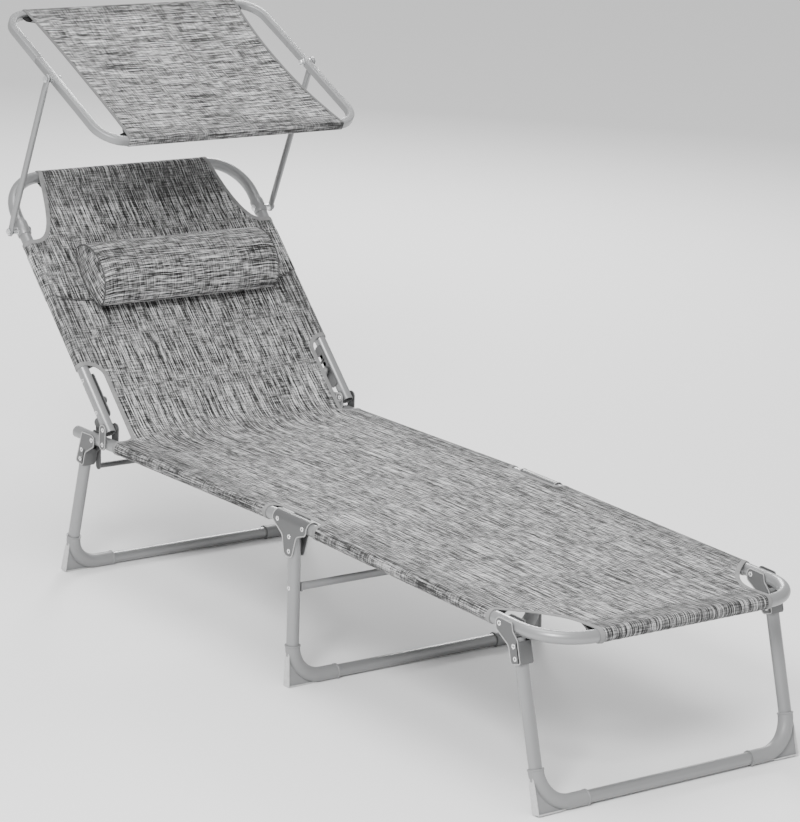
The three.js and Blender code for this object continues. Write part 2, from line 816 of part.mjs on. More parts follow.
// Strip of sling over the saddles
const stripEase = 0.6;
const stripStart = -saddlePivotSpacing + seatClothStart - stripEase;
const stripEnd = seatClothStart - stripEase;
const stripCuts = sides.map(({ sign }) => clothCut(mirrored([
  [clothOutside, stripStart - cutOverrun],
  [saddleCutInside, stripStart - cutOverrun],
  [saddleCutInside, stripEnd + cutOverrun],
  [clothOutside, stripEnd + cutOverrun],
], sign)));
addPiece(middle, 'middle_sling', cut(flatSling(stripStart, stripEnd, 1), stripCuts), slingCloth);

// Foot section
const footBendRadius = 85;
const footFrameTube = tube([
  corner(-railHalfWidth, railEndRadius, 0),
  corner(-railHalfWidth, -footLength, 0, footBendRadius),
  corner(railHalfWidth, -footLength, 0, footBendRadius),
  corner(railHalfWidth, railEndRadius, 0),
]);
const footDrills = sides.flatMap(({ sign }) => holesThroughTube(sign, [[0, 0], [frontPivotPlace, 0]]));
const footFrame = cut(footFrameTube, [...footDrills, ...sides.map(({ sign }) => ballEnd(sign, 1))]);
addPiece(foot, 'foot_frame', footFrame, frameCoat);

const footSleeveEnd = -27;
const footCornerLength = 146;
const footSleeveStart = footCornerLength - footLength;
const footClothEnd = -seatClothStart;
const footHemEase = 5;
const footHemHalfWidth = railHalfWidth - footBendRadius - footHemEase;
const footSagRun = 120;

// What is cut away at a corner where the frame bends: from a side sleeve's end in a curve to the end hem
function cornerCut(sign, sleeveY, hemHalfWidth, barY, inward) {
  const toBar = Math.sign(barY - sleeveY);
  const shape = new THREE.Shape();
  const side = railHalfWidth - sleeveOuter;
  const outside = sign * clothOutside;
  const beyond = barY + toBar * (sleeveOuter + cutOverrun);
  shape.moveTo(outside, sleeveY);
  shape.lineTo(sign * side, sleeveY);
  const pull = new THREE.Vector2(sign * (hemHalfWidth + inward), sleeveY + toBar * inward);
  shape.quadraticCurveTo(pull.x, pull.y, sign * hemHalfWidth, barY - toBar * sleeveOuter);
  shape.lineTo(sign * hemHalfWidth, beyond);
  shape.lineTo(outside, beyond);
  return clothCut(shape);
}

const footCutInward = 10;
const footSaddleCuts = sides.map(({ sign }) => clothCut(mirrored([
  [clothOutside, footClothEnd + cutOverrun],
  [saddleCutInside, footClothEnd + cutOverrun],
  [saddleCutInside, footSleeveEnd + cutSlant],
  [railHalfWidth - sleeveOuter, footSleeveEnd],
  [clothOutside, footSleeveEnd],
], sign)));
const footCornerCuts = sides.map(({ sign }) => (
  cornerCut(sign, footSleeveStart, footHemHalfWidth, -footLength, footCutInward)
));
const footRows = 6;
const footSheet = sheet(clothColumns, footRows, clothThickness, (u, v) => {
  const share = 2 * u - 1;
  const y = footClothEnd + (-footLength - footClothEnd) * (1 - v);
  const near = Math.min(1, (y + footLength) / footSagRun);
  const sag = slingSag * (1 - share * share) * near * (2 - near);
  return new THREE.Vector3(share * railHalfWidth, y, sleeveOuter - sag);
});
const footSling = join([
  cut(footSheet, [...footSaddleCuts, ...footCornerCuts]),
  ...sides.map(({ sign }) => sideSleeve(sign, footSleeveStart, footSleeveEnd)),
  barSleeve(footHemHalfWidth, -footLength),
]);
addPiece(foot, 'foot_sling', footSling, slingCloth);

// Front legs and rear legs: each bracket is a channel, two ears and a web, that turns about its top rivet
const bracketPivotRadius = 11;
const bracketEdge = 12;
const bracketTail = 10;
const bracketThroatShare = 0.6;
const bracketWebEase = 0.3;
const bracketWebThickness = 2;
const bracketTopRise = 10;
const bracketTopReach = 32;
const bracketNotch = 9;
const frontLegOffset = -28;
const frontLegTop = -25;
const frontRivetDrops = [38, 58];
const rearLegOffset = 26;
const rearLegTop = -20;
const rearRivetDrops = [31, 49.5];

// An ear in its leg plane. Its top edge follows the rail beside it, which is turned by railTurn there;
// in front of a leg that hangs before its pivot a notch keeps the ear off the tube's bend.
function bracketEar(offset, top, drops, railTurn) {
  const side = Math.sign(offset);
  const foot = drops[1] + bracketTail;
  const webSide = tubeRadius + bracketWebEase + bracketWebThickness;
  const far = Math.abs(offset) + (side > 0 ? bracketEdge : webSide);
  const near = Math.abs(offset) - (side > 0 ? webSide : bracketEdge);
  const notch = side > 0 ? 0 : bracketNotch;
  const topY = side * bracketTopReach * Math.cos(railTurn) - bracketTopRise * Math.sin(railTurn);
  const topZ = side * bracketTopReach * Math.sin(railTurn) + bracketTopRise * Math.cos(railTurn);
  const shape = new THREE.Shape();
  const startTurn = Math.PI / 2 + railTurn;
  const endTurn = side > 0 ? 1.5 * Math.PI : -Math.PI / 2;
  shape.moveTo(bracketPivotRadius * Math.cos(startTurn), bracketPivotRadius * Math.sin(startTurn));
  shape.absarc(0, 0, bracketPivotRadius, startTurn, endTurn, side < 0);
  shape.lineTo(side * near * bracketThroatShare, -bracketPivotRadius);
  shape.lineTo(side * near, top - bracketPivotRadius / 2);
  shape.lineTo(side * near, -foot + bracketTail / 2);
  shape.lineTo(side * (near + bracketTail / 2), -foot);
  shape.lineTo(side * (far - bracketTail / 2), -foot);
  shape.lineTo(side * far, -foot + bracketTail / 2);
  shape.lineTo(side * far, top - bracketWebEase);
  shape.lineTo(side * (far - notch), (top + topZ) / 2);
  shape.lineTo(topY, topZ);
  holeIn(shape, 0, 0);
  return shape;
}

function bracket(sign, offset, top, drops, railTurn) {
  const outline = bracketEar(offset, top, drops, railTurn);
  const webPlace = offset - tubeRadius - bracketWebEase - bracketWebThickness / 2;
  const width = outerEarFar - innerEarNear;
  const webTop = top - bracketPivotRadius / 2;
  const webFoot = -drops[1] - bracketTail / 2;
  const web = new THREE.BoxGeometry(width, bracketWebThickness, webTop - webFoot);
  const webX = sign * (outerEarFar + innerEarNear) / 2;
  web.translate(webX, webPlace, (webTop + webFoot) / 2);
  return join([
    sidePlate(outline, sign, innerEarNear, innerEarFar),
    sidePlate(outline, sign, outerEarNear, outerEarFar),
    web,
    ...drops.map((drop) => fixedRivet(sign, offset, -drop)),
  ]);
}

function addLegSet(group, word, offset, top, drops, rails) {
  addLegs(group, word, offset, top, drops.map((drop) => -drop));
  const railTurn = lean(rails) - lean(group);
  for (const side of sides) {
    const ears = bracket(side.sign, offset, top, drops, railTurn);
    addPiece(group, `${word}_bracket_${side.word}`, ears, bracketCoat);
    addPiece(group, `${word}_leg_pivot_${side.word}`, pivotRivet(side.sign, 0, 0), brightSteel);
  }
}

addLegSet(frontLegs, 'front', frontLegOffset, frontLegTop, frontRivetDrops, foot);
addLegSet(rearLegs, 'rear', rearLegOffset, rearLegTop, rearRivetDrops, seat);

// Backrest: lower tubes, top bow, racks and sling
const tubeFootReach = 9;
const plugLength = 32;
const plugRadius = (tubeRadius - tubeWall) * Math.cos(Math.PI / boreSides) - clearance;
const plugBore = plugRadius - tubeWall;
const bowBore = plugRadius - tubeWall / 2;
const plugRoot = 8;
const bowBendRadius = 80;
const rackStart = 26;
const rackEnd = 116;
const rackFront = 9;
const rackRear = 12;
const rackRivetPlaces = [37, 106];
const notchPlaces = [61, 76.5, 92];
const notchRadius = 4.4;
const notchDepthPlace = -2;

for (const { word, sign } of sides) {
  const x = sign * railHalfWidth;
  const whole = tube([corner(x, -tubeFootReach, 0), corner(x, splicePlace, 0)]);
  const places = [0, ...rackRivetPlaces, canopyBoltPlace].map((y) => [y, 0]);
  addPiece(backrest, `backrest_tube_${word}`, cut(whole, holesThroughTube(sign, places)), frameCoat);
}

const bowFoot = splicePlace + clearance;
const bow = sweep(ringShape(tubeRadius, bowBore, tubeSides, boreSides), [
  corner(-railHalfWidth, bowFoot, 0),
  corner(-railHalfWidth, backrestLength, 0, bowBendRadius),
  corner(railHalfWidth, backrestLength, 0, bowBendRadius),
  corner(railHalfWidth, bowFoot, 0),
]);
const bowPlugs = sides.map(({ sign }) => {
  const x = sign * railHalfWidth;
  const ends = [corner(x, splicePlace - plugLength, 0), corner(x, bowFoot + plugRoot, 0)];
  return tube(ends, plugRadius, plugBore);
});
const bowDrills = sides.flatMap(({ sign }) => holesThroughTube(sign, [[canopyBoltPlace, 0]]));
addPiece(backrest, 'backrest_bow', cut(join([bow, ...bowPlugs]), bowDrills), frameCoat);

function rackShape() {
  const shape = new THREE.Shape();
  shape.moveTo(rackStart, -rackRear);
  for (const place of notchPlaces) {
    shape.lineTo(place - notchRadius, -rackRear);
    shape.lineTo(place - notchRadius, notchDepthPlace);
    shape.absarc(place, notchDepthPlace, notchRadius, Math.PI, 0, true);
    shape.lineTo(place + notchRadius, -rackRear);
  }
  shape.lineTo(rackEnd, -rackRear);
  shape.lineTo(rackEnd, rackFront);
  shape.lineTo(rackStart, rackFront);
  return shape;
}

// Each rack is one piece with the two rivets that hold it, whose inner ends are flush
const rackHeadFar = railHalfWidth + tubeRadius + clearance + rivetHeadHeight;
for (const { word, sign } of sides) {
  const plate = sidePlate(rackShape(), sign, innerEarNear, innerEarFar);
  const rivets = rackRivetPlaces.map((place) => (
    rivet(sign, innerEarNear + rivetSink, rackHeadFar, place, 0, { far: true })
  ));
  addPiece(backrest, `rack_${word}`, join([plate, ...rivets]), bracketCoat);
}

const backSleeveStart = 131;
const boltToSleeve = 30.5;
const backSleeveEnd = canopyBoltPlace - boltToSleeve;
const backClothStart = -22;
const backHemHalfWidth = railHalfWidth - bowBendRadius;
const backCutInward = 12;
const backSagRun = 90;
const backRows = 6;
const backSheet = sheet(clothColumns, backRows, clothThickness, (u, v) => {
  const share = 2 * u - 1;
  const y = backClothStart + (backrestLength - backClothStart) * v;
  const near = Math.min(1, (backrestLength - y) / backSagRun);
  const sag = slingSag * (1 - share * share) * near * (2 - near);
  return new THREE.Vector3(share * railHalfWidth, y, sleeveOuter - sag);
});
const hingeCuts = sides.map(({ sign }) => clothCut(mirrored([
  [clothOutside, backClothStart - cutOverrun],
  [hingeCutInside, backClothStart - cutOverrun],
  [hingeCutInside, backSleeveStart - cutSlant],
  [railHalfWidth - sleeveOuter, backSleeveStart],
  [clothOutside, backSleeveStart],
], sign)));
const headCuts = sides.map(({ sign }) => (
  cornerCut(sign, backSleeveEnd, backHemHalfWidth, backrestLength, backCutInward)
));
const backSling = join([
  cut(backSheet, [...hingeCuts, ...headCuts]),
  ...sides.map(({ sign }) => sideSleeve(sign, backSleeveStart, backSleeveEnd)),
  barSleeve(backHemHalfWidth, backrestLength),
]);
addPiece(backrest, 'backrest_sling', backSling, slingCloth);

// Collar bolts that carry the canopy arms
const armRadius = 6;
const armStandoff = 27;
const armPlane = railHalfWidth + armStandoff;
const armNear = armPlane - armRadius;
const armFar = armPlane + armRadius;
const spacerRadius = 6;
const boltHeadRadius = 7;
const spacerNear = railHalfWidth + tubeRadius + clearance;
const spacerFar = armNear - clearance;
const boltFar = armFar + clearance + rivetHeadHeight;
const boltNear = tubeInside - clearance - rivetHeadHeight;
for (const { word, sign } of sides) {
  const bolt = rivet(sign, boltNear, boltFar, canopyBoltPlace, 0, { near: true, far: true }, boltHeadRadius);
  const collar = crossBar(sign * spacerNear, sign * spacerFar, canopyBoltPlace, 0, spacerRadius, tubeSides);
  addPiece(backrest, `arm_bolt_${word}`, join([bolt, collar]), brightSteel);
}

// Stay: two flat arms, a round crossbar, and the pins that rest in the racks
const pinReach = 49.3;
const pinAngle = 108.3;
const crossbarDrop = 81;
const crossbarSetback = 6;
const crossbarRadius = 5;
const stayArmRadius = 7;
const pinRadius = 4;
const pinHeadRadius = 6.5;
const pinY = pinReach * Math.cos(radians(pinAngle));
const pinZ = pinReach * Math.sin(radians(pinAngle));
const crossbarY = -crossbarSetback;
const crossbarZ = -crossbarDrop;
const pinFar = innerEarNear - clearance;

// Each arm is one piece with its pin and the pin's head
function stayArm(sign) {
  const upper = roundedOutline([
    { y: 0, z: 0, radius: stayArmRadius },
    { y: pinY, z: pinZ, radius: stayArmRadius },
  ]);
  const lower = roundedOutline([
    { y: crossbarY, z: crossbarZ, radius: stayArmRadius },
    { y: 0, z: 0, radius: stayArmRadius },
  ]);
  const body = join([sidePlate(upper, sign, stayNear, stayFar), sidePlate(lower, sign, stayNear, stayFar)]);
  const drillNear = stayNear - cutOverrun;
  const drillFar = stayFar + cutOverrun;
  const drilled = cut(body, [
    drill(sign, drillNear, drillFar, 0, 0),
    drill(sign, drillNear, drillFar, crossbarY, crossbarZ),
  ]);
  const pin = crossBar(sign * (stayNear + rivetSink), sign * pinFar, pinY, pinZ, pinRadius, tubeSides);
  const headNear = stayNear - rivetHeadHeight + rivetSink;
  const head = rivet(sign, headNear, stayFar - rivetSink, pinY, pinZ, { near: true }, pinHeadRadius);
  return join([drilled, pin, head]);
}

for (const { word, sign } of sides) {
  addPiece(stay, `stay_arm_${word}`, stayArm(sign), bracketCoat);
}

const crossbarFar = stayNear - clearance;
const crossbarStub = stayFar;
const stayCrossbar = join([
  crossBar(-crossbarFar, crossbarFar, crossbarY, crossbarZ, crossbarRadius, tubeSides),
  crossBar(-crossbarStub, crossbarStub, crossbarY, crossbarZ, rivetRadius),
]);
addPiece(stay, 'stay_crossbar', stayCrossbar, frameCoat);

// Canopy arms
const armEndReach = 9;
for (const { word, sign } of sides) {
  const x = sign * armPlane;
  const whole = sweep(new THREE.Shape(circlePoints(armRadius, tubeSides)), [
    corner(x, -armEndReach, 0),
    corner(x, canopyArmLength + armEndReach, 0),
  ]);
  const near = armNear - cutOverrun;
  const far = armFar + cutOverrun;
  const arm = cut(whole, [drill(sign, near, far, 0, 0), drill(sign, near, far, canopyArmLength, 0)]);
  addPiece(canopyArms, `canopy_arm_${word}`, arm, frameCoat);
}

// Canopy ring: a front and a rear half of squarish tube, the rear one drawn down to fit the front one
const armToRing = 14;
const ringHalfWidth = armPlane - armToRing;
const ringFront = 198.5;
const ringRear = 201;
const ringBendRadius = 50;
const ringHalf = 7.2;
const ringEdgeRound = 4;
const ringBore = 5.6;
const ringPlugRadius = 5.2;
const ringPlugBore = 3.6;
const ringSplice = 60;
const ringPlugLength = 24;

function squarish(half, round) {
  const points = [];
  const flat = half - round;
  for (let quarter = 0; quarter < 4; quarter += 1) {
    const turn = (quarter * Math.PI) / 2;
    const centreX = flat * (Math.cos(turn) - Math.sin(turn));
    const centreY = flat * (Math.sin(turn) + Math.cos(turn));
    for (let k = 0; k < 3; k += 1) {
      const angle = turn + (k * Math.PI) / 4;
      points.push(new THREE.Vector2(centreX + round * Math.cos(angle), centreY + round * Math.sin(angle)));
    }
  }
  return points;
}

function squarishRing() {
  const shape = new THREE.Shape(squarish(ringHalf, ringEdgeRound));
  shape.holes.push(new THREE.Path(circlePoints(ringBore, boreSides)));
  return shape;
}

const ringHoleNear = ringHalfWidth - ringHalf - cutOverrun;
const ringHoleFar = ringHalfWidth + ringHalf + cutOverrun;
const ringFrontTube = sweep(squarishRing(), [
  corner(-ringHalfWidth, ringSplice, 0),
  corner(-ringHalfWidth, -ringFront, 0, ringBendRadius),
  corner(ringHalfWidth, -ringFront, 0, ringBendRadius),
  corner(ringHalfWidth, ringSplice, 0),
]);
const ringHoles = sides.map(({ sign }) => drill(sign, ringHoleNear, ringHoleFar, 0, 0));
addPiece(canopy, 'canopy_ring_front', cut(ringFrontTube, ringHoles), frameCoat);

const ringRearStart = ringSplice + clearance;
const ringRearTube = sweep(squarishRing(), [
  corner(-ringHalfWidth, ringRearStart, 0),
  corner(-ringHalfWidth, ringRear, 0, ringBendRadius),
  corner(ringHalfWidth, ringRear, 0, ringBendRadius),
  corner(ringHalfWidth, ringRearStart, 0),
]);
const ringPlugs = sides.map(({ sign }) => {
  const x = sign * ringHalfWidth;
  const plug = ringShape(ringPlugRadius, ringPlugBore, boreSides);
  return sweep(plug, [corner(x, ringSplice - ringPlugLength, 0), corner(x, ringRearStart + plugRoot, 0)]);
});
const ringNecks = sides.map(({ sign }) => {
  const x = sign * ringHalfWidth;
  const neck = ringShape(around(ringBore, boreSides) + clearance, ringPlugBore, boreSides);
  return sweep(neck, [corner(x, ringRearStart + plugRoot / 2, 0), corner(x, ringRearStart + plugRoot, 0)]);
});
addPiece(canopy, 'canopy_ring_rear', join([ringRearTube, ...ringPlugs, ...ringNecks]), frameCoat);

// Bolts through the ring, with a washer and a domed nut on the inside
const ringNear = ringHalfWidth - ringHalf;
const nutRadius = 6;
const nutLength = 8;
const nutDomeShare = 0.55;
for (const { word, sign } of sides) {
  const nutFar = ringNear - clearance;
  const nutNear = nutFar - nutLength;
  const profile = [
    new THREE.Vector2(0, nutNear),
    new THREE.Vector2(nutRadius * nutDomeShare, nutNear + nutLength * (1 - nutDomeShare) / 2),
    new THREE.Vector2(nutRadius, nutFar - nutLength * nutDomeShare),
    new THREE.Vector2(nutRadius, nutFar),
    new THREE.Vector2(rivetRadius, nutFar),
    new THREE.Vector2(rivetRadius, boltFar - rivetHeadHeight),
    new THREE.Vector2(boltHeadRadius, boltFar - rivetHeadHeight),
    new THREE.Vector2(0, boltFar),
  ];
  const bolt = new THREE.LatheGeometry(profile, rivetSides);
  bolt.rotateZ(-Math.PI / 2);
  if (sign < 0) {
    bolt.rotateZ(Math.PI);
  }
  addPiece(canopy, `ring_bolt_${word}`, bolt, brightSteel);
}

// Canopy cloth: a sleeve over each end bar, a shallow sag between them, and side edges drawn in
const canopySleeveInner = ringHalf + clothEase;
const canopySleeveOuter = canopySleeveInner + clothThickness;
const canopyHemEase = 3;
const canopyClothHalfWidth = ringHalfWidth - ringBendRadius - canopyHemEase;
const canopyClothSag = 12;
const canopyDrawIn = 14;
const canopyRows = 8;
const canopySheet = sheet(clothColumns, canopyRows, clothThickness, (u, v) => {
  const across = 2 * u - 1;
  const along = 2 * v - 1;
  const y = -ringFront + (ringFront + ringRear) * v;
  const halfWidth = canopyClothHalfWidth - canopyDrawIn * (1 - along * along);
  const sag = canopyClothSag * (1 - along * along);
  return new THREE.Vector3(across * halfWidth, y, canopySleeveOuter - sag);
});

function canopySleeve(y) {
  const shape = new THREE.Shape(squarish(canopySleeveOuter, ringEdgeRound + clothEase + clothThickness));
  shape.holes.push(new THREE.Path(squarish(canopySleeveInner, ringEdgeRound + clothEase)));
  return sweep(shape, [corner(-canopyClothHalfWidth, y, 0), corner(canopyClothHalfWidth, y, 0)]);
}

const canopyCloth = join([canopySheet, canopySleeve(-ringFront), canopySleeve(ringRear)]);
addPiece(canopy, 'canopy_cloth', canopyCloth, slingCloth);

// Pillow: a stuffed bolster with pinched seams, and the band that holds it on the backrest
const bandWidth = 94;
const bandFromSleeveEnd = 27;
const bandEnd = backSleeveEnd - bandFromSleeveEnd;
const bandStart = bandEnd - bandWidth;
const bandInner = sleeveOuter + clothEase;
const bandOuter = bandInner + clothThickness;

// A loop round both backrest tubes: a half circle about each, with count steps
function stadium(radius, count) {
  const points = [];
  for (const sign of [1, -1]) {
    for (let k = 0; k <= count; k += 1) {
      const turn = sign * ((Math.PI * k) / count - Math.PI / 2);
      const x = sign * (railHalfWidth + radius * Math.cos(turn));
      points.push(new THREE.Vector2(x, radius * Math.sin(turn)));
    }
  }
  return points;
}

const bandSteps = 8;
const bandShape = new THREE.Shape(stadium(bandOuter, bandSteps));
bandShape.holes.push(new THREE.Path(stadium(around(bandInner, 2 * bandSteps), bandSteps)));
const band = extrude(bandShape, bandEnd - bandStart);
band.rotateX(Math.PI / 2);
band.translate(0, bandEnd, 0);
addPiece(pillow, 'pillow_band', band, slingCloth);

const bolsterHeight = 132;
const bolsterFromBandEnd = 10;
const bolsterHigh = bandEnd - bolsterFromBandEnd;
const bolsterLow = bolsterHigh - bolsterHeight;
const bolsterEndEase = 73;
const bolsterHalfLength = railHalfWidth - bolsterEndEase;
const bolsterMiddle = (bolsterLow + bolsterHigh) / 2;
const bolsterHalfHeight = (bolsterHigh - bolsterLow) / 2;
const bolsterBack = bandOuter + clearance;
const bolsterSeam = 34;
const bolsterCrown = 85;
const bolsterEndShare = 0.86;
const bolsterEndRun = 30;
const bolsterTip = 5;
const bolsterPinchPower = 1.15;
const bolsterAround = 20;
const bolsterStationShares = [-1, -0.985, -0.93, -0.8, -0.5, 0, 0.5, 0.8, 0.93, 0.985, 1];

function bolsterLoop(share) {
  const fromEnd = bolsterHalfLength * (1 - Math.abs(share));
  const rounded = Math.sqrt(Math.max(0, 1 - (1 - Math.min(1, fromEnd / bolsterEndRun)) ** 2));
  const swell = bolsterEndShare + (1 - bolsterEndShare) * rounded;
  const points = [];
  for (let k = 0; k < bolsterAround; k += 1) {
    const turn = (2 * Math.PI * k) / bolsterAround;
    const front = Math.sin(turn) > 0;
    const depth = front ? bolsterCrown - bolsterSeam : bolsterSeam - bolsterBack;
    const y = bolsterMiddle + bolsterHalfHeight * swell * Math.cos(turn);
    const pinch = Math.abs(Math.sin(turn)) ** bolsterPinchPower;
    const z = bolsterSeam + Math.sign(Math.sin(turn)) * depth * (front ? swell : 1) * pinch;
    points.push(new THREE.Vector3(bolsterHalfLength * share, y, z));
  }
  return points;
}

const bolsterLoops = bolsterStationShares.map(bolsterLoop);
const bolsterTips = [-1, 1].map((sign) => (
  new THREE.Vector3(sign * (bolsterHalfLength + bolsterTip), bolsterMiddle, bolsterSeam)
));
addPiece(pillow, 'pillow_bolster', loft(bolsterLoops, bolsterTips[0], bolsterTips[1]), slingCloth);

// The origin is the middle of the lounger's footprint, on the floor
lounger.updateMatrixWorld(true);
const bounds = new THREE.Box3();
lounger.traverse((piece) => {
  if (piece.isMesh) {
    bounds.expandByObject(piece, true);
  }
});
lounger.position.set(0, -(bounds.min.y + bounds.max.y) / 2, -bounds.min.z);
lounger.updateMatrixWorld(true);

export default lounger;
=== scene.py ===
# Sun lounger with a canopy and a bolster pillow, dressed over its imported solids.
# Sizes are millimetres in the frame of the section that carries a piece, as in the solids: +Y along
# the tubes, +Z out of the sling. A section's matrix brings them to metres in the frame of the whole.
import json
from math import atan2, cos, pi, radians, sin, sqrt, tan

import bmesh
import bpy
from mathutils import Matrix, Vector, noise


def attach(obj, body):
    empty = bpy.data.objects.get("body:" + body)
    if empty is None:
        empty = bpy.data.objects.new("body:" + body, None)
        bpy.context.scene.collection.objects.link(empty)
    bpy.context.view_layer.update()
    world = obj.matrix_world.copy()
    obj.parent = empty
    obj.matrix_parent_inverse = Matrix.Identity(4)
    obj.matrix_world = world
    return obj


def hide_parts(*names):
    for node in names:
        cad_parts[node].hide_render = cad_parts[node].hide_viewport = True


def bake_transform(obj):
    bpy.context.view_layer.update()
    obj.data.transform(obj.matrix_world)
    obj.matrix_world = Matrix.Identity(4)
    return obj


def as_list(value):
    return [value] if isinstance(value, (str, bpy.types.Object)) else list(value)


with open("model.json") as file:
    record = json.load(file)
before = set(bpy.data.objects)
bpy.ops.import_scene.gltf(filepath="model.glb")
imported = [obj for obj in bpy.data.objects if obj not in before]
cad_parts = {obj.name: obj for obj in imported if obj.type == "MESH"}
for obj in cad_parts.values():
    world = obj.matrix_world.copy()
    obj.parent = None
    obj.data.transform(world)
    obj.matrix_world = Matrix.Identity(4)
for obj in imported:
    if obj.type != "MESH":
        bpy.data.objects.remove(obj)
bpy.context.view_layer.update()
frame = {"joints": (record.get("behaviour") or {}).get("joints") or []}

MM = 0.001
SIDES = (("left", -1), ("right", 1))

# Tube, sheet metal and cloth. An ear is a plate beside a tube, and its face looks away from the tube
TUBE = 11.0
WALL = 1.2
RAIL = 270.0
PLATE = 2.0
GAP = 0.3
SLEEVE = 12.4
CLOTH = 0.9
SAG = 6.0
INNER_EAR = RAIL - TUBE - GAP
OUTER_EAR = RAIL + TUBE + GAP
INNER_FACE = INNER_EAR - PLATE
OUTER_FACE = OUTER_EAR + PLATE

# Lengths of the sections
SEAT_LENGTH = 648.0
FOOT_LENGTH = 646.0
BACK_LENGTH = 550.0
SPLICE = 452.0
BOLT = 437.5
ARM_LENGTH = 324.0
SADDLE_SPAN = 71.0
FOOT_BEND = 85.0
BOW_BEND = 80.0
LEG_BEND = 60.0

# Lean of each section from level, in degrees
SEAT_LEAN = -1.4
FOOT_LEAN = 0.46
BACK_LEAN = 44.2
FRONT_LEAN = -17.7
MIDDLE_LEAN = -3.0
REAR_LEAN = 11.1
ARM_LEAN = 109.7
CANOPY_LEAN = 25.0

pivots = {joint["name"]: Vector(joint["pos_m"]) for joint in frame["joints"] if joint["type"] == "hinge"}


def section(place, lean):
    return Matrix.Translation(place) @ Matrix.Rotation(radians(lean), 4, "X") @ Matrix.Scale(MM, 4)


SEAT = section(pivots["middle_leg_fold"], SEAT_LEAN)
MIDDLE = section(pivots["middle_leg_fold"], 0)
MIDDLE_PLANE = section(MIDDLE @ Vector((0, -SADDLE_SPAN / 2, -23)), MIDDLE_LEAN)
FOOT = section(pivots["foot_section_fold"], FOOT_LEAN)
FRONT = section(pivots["front_leg_fold"], FRONT_LEAN)
REAR = section(pivots["rear_leg_fold"], REAR_LEAN)
BACK = section(pivots["backrest_hinge"], BACK_LEAN)
STAY = section(pivots["stay_swing"], 0)
ARMS = section(pivots["canopy_arm_swing"], ARM_LEAN)
CANOPY = section(pivots["canopy_tilt"], CANOPY_LEAN)

_, HINGE, HINGE_RISE = SEAT.inverted() @ pivots["backrest_hinge"]
_, STAY_PIVOT, STAY_RISE = SEAT.inverted() @ pivots["stay_swing"]


# Materials
class Wiring:
    """Adds nodes to one tree and joins them."""

    def __init__(self, tree):
        self.tree = tree

    def add(self, kind, values=None, **settings):
        node = self.tree.nodes.new(kind)
        for key, value in settings.items():
            setattr(node, key, value)
        for socket, value in (values or {}).items():
            if isinstance(value, bpy.types.NodeSocket):
                self.join(value, node.inputs[socket])
            else:
                node.inputs[socket].default_value = value
        return node

    def join(self, value, socket):
        self.tree.links.new(value, socket)

    def relief(self, shader, height, strength, distance=0.0003):
        """Gives a surface fine relief that follows a height."""
        values = {"Height": height, "Strength": strength, "Distance": distance}
        self.join(self.add("ShaderNodeBump", values).outputs[0], shader.inputs["Normal"])

    def math(self, operation, first, second=0.0):
        return self.add("ShaderNodeMath", {0: first, 1: second}, operation=operation).outputs[0]

    def mix(self, share, first, second):
        values = {0: share, 6: first, 7: second}
        return self.add("ShaderNodeMix", values, data_type="RGBA").outputs[2]

    def ramp(self, value, stops):
        node = self.add("ShaderNodeValToRGB", {0: value})
        elements = node.color_ramp.elements
        while len(elements) < len(stops):
            elements.new(1.0)
        for element, (place, shade) in zip(elements, stops):
            element.position = place
            element.color = (shade, shade, shade, 1)
        return node.outputs[0]

    def spread(self, value, low, high):
        return self.add("ShaderNodeMapRange", {0: value, 3: low, 4: high}).outputs[0]

    def noise(self, vector, scale, detail=2.0, roughness=0.5):
        values = {"Vector": vector, "Scale": scale, "Detail": detail, "Roughness": roughness}
        return self.add("ShaderNodeTexNoise", values).outputs[0]

    def stretched(self, vector, size):
        values = {"Vector": vector, "Scale": [1 / part for part in size]}
        return self.add("ShaderNodeMapping", values).outputs[0]


def shader_group(name, inputs, outputs):
    """A node group with named sockets, its wiring, its entry's sockets and its last node."""
    group = bpy.data.node_groups.new(name, "ShaderNodeTree")
    for label, kind, value in inputs:
        socket = group.interface.new_socket(label, in_out="INPUT", socket_type=kind)
        if value is not None:
            socket.default_value = value
    for label, kind in outputs:
        group.interface.new_socket(label, in_out="OUTPUT", socket_type=kind)
    wiring = Wiring(group)
    entry = wiring.add("NodeGroupInput")
    leave = wiring.add("NodeGroupOutput")
    return group, wiring, entry.outputs, leave


def coat_grain():
    """Fine grain of powder coat or moulded plastic, with faint handling marks."""
    group, w, entry, leave = shader_group(
        "coat grain",
        [
            ("Vector", "NodeSocketVector", None),
            ("Grain Size", "NodeSocketFloat", 0.0012),
            ("Tint Spread", "NodeSocketFloat", 0.06),
        ],
        [("Height", "NodeSocketFloat"), ("Shade", "NodeSocketFloat"), ("Gloss", "NodeSocketFloat")],
    )
    scale = w.math("DIVIDE", 1.0, entry["Grain Size"])
    grain = w.noise(entry["Vector"], scale, 3.0)
    marks = w.noise(entry["Vector"], 28.0, 4.0, 0.6)
    centred = w.math("SUBTRACT", marks, 0.5)
    shade = w.math("MULTIPLY_ADD", centred, entry["Tint Spread"])
    shade.node.inputs[2].default_value = 1.0
    gloss = w.spread(marks, -0.06, 0.06)
    w.join(grain, leave.inputs["Height"])
    w.join(shade, leave.inputs["Shade"])
    w.join(gloss, leave.inputs["Gloss"])
    return group


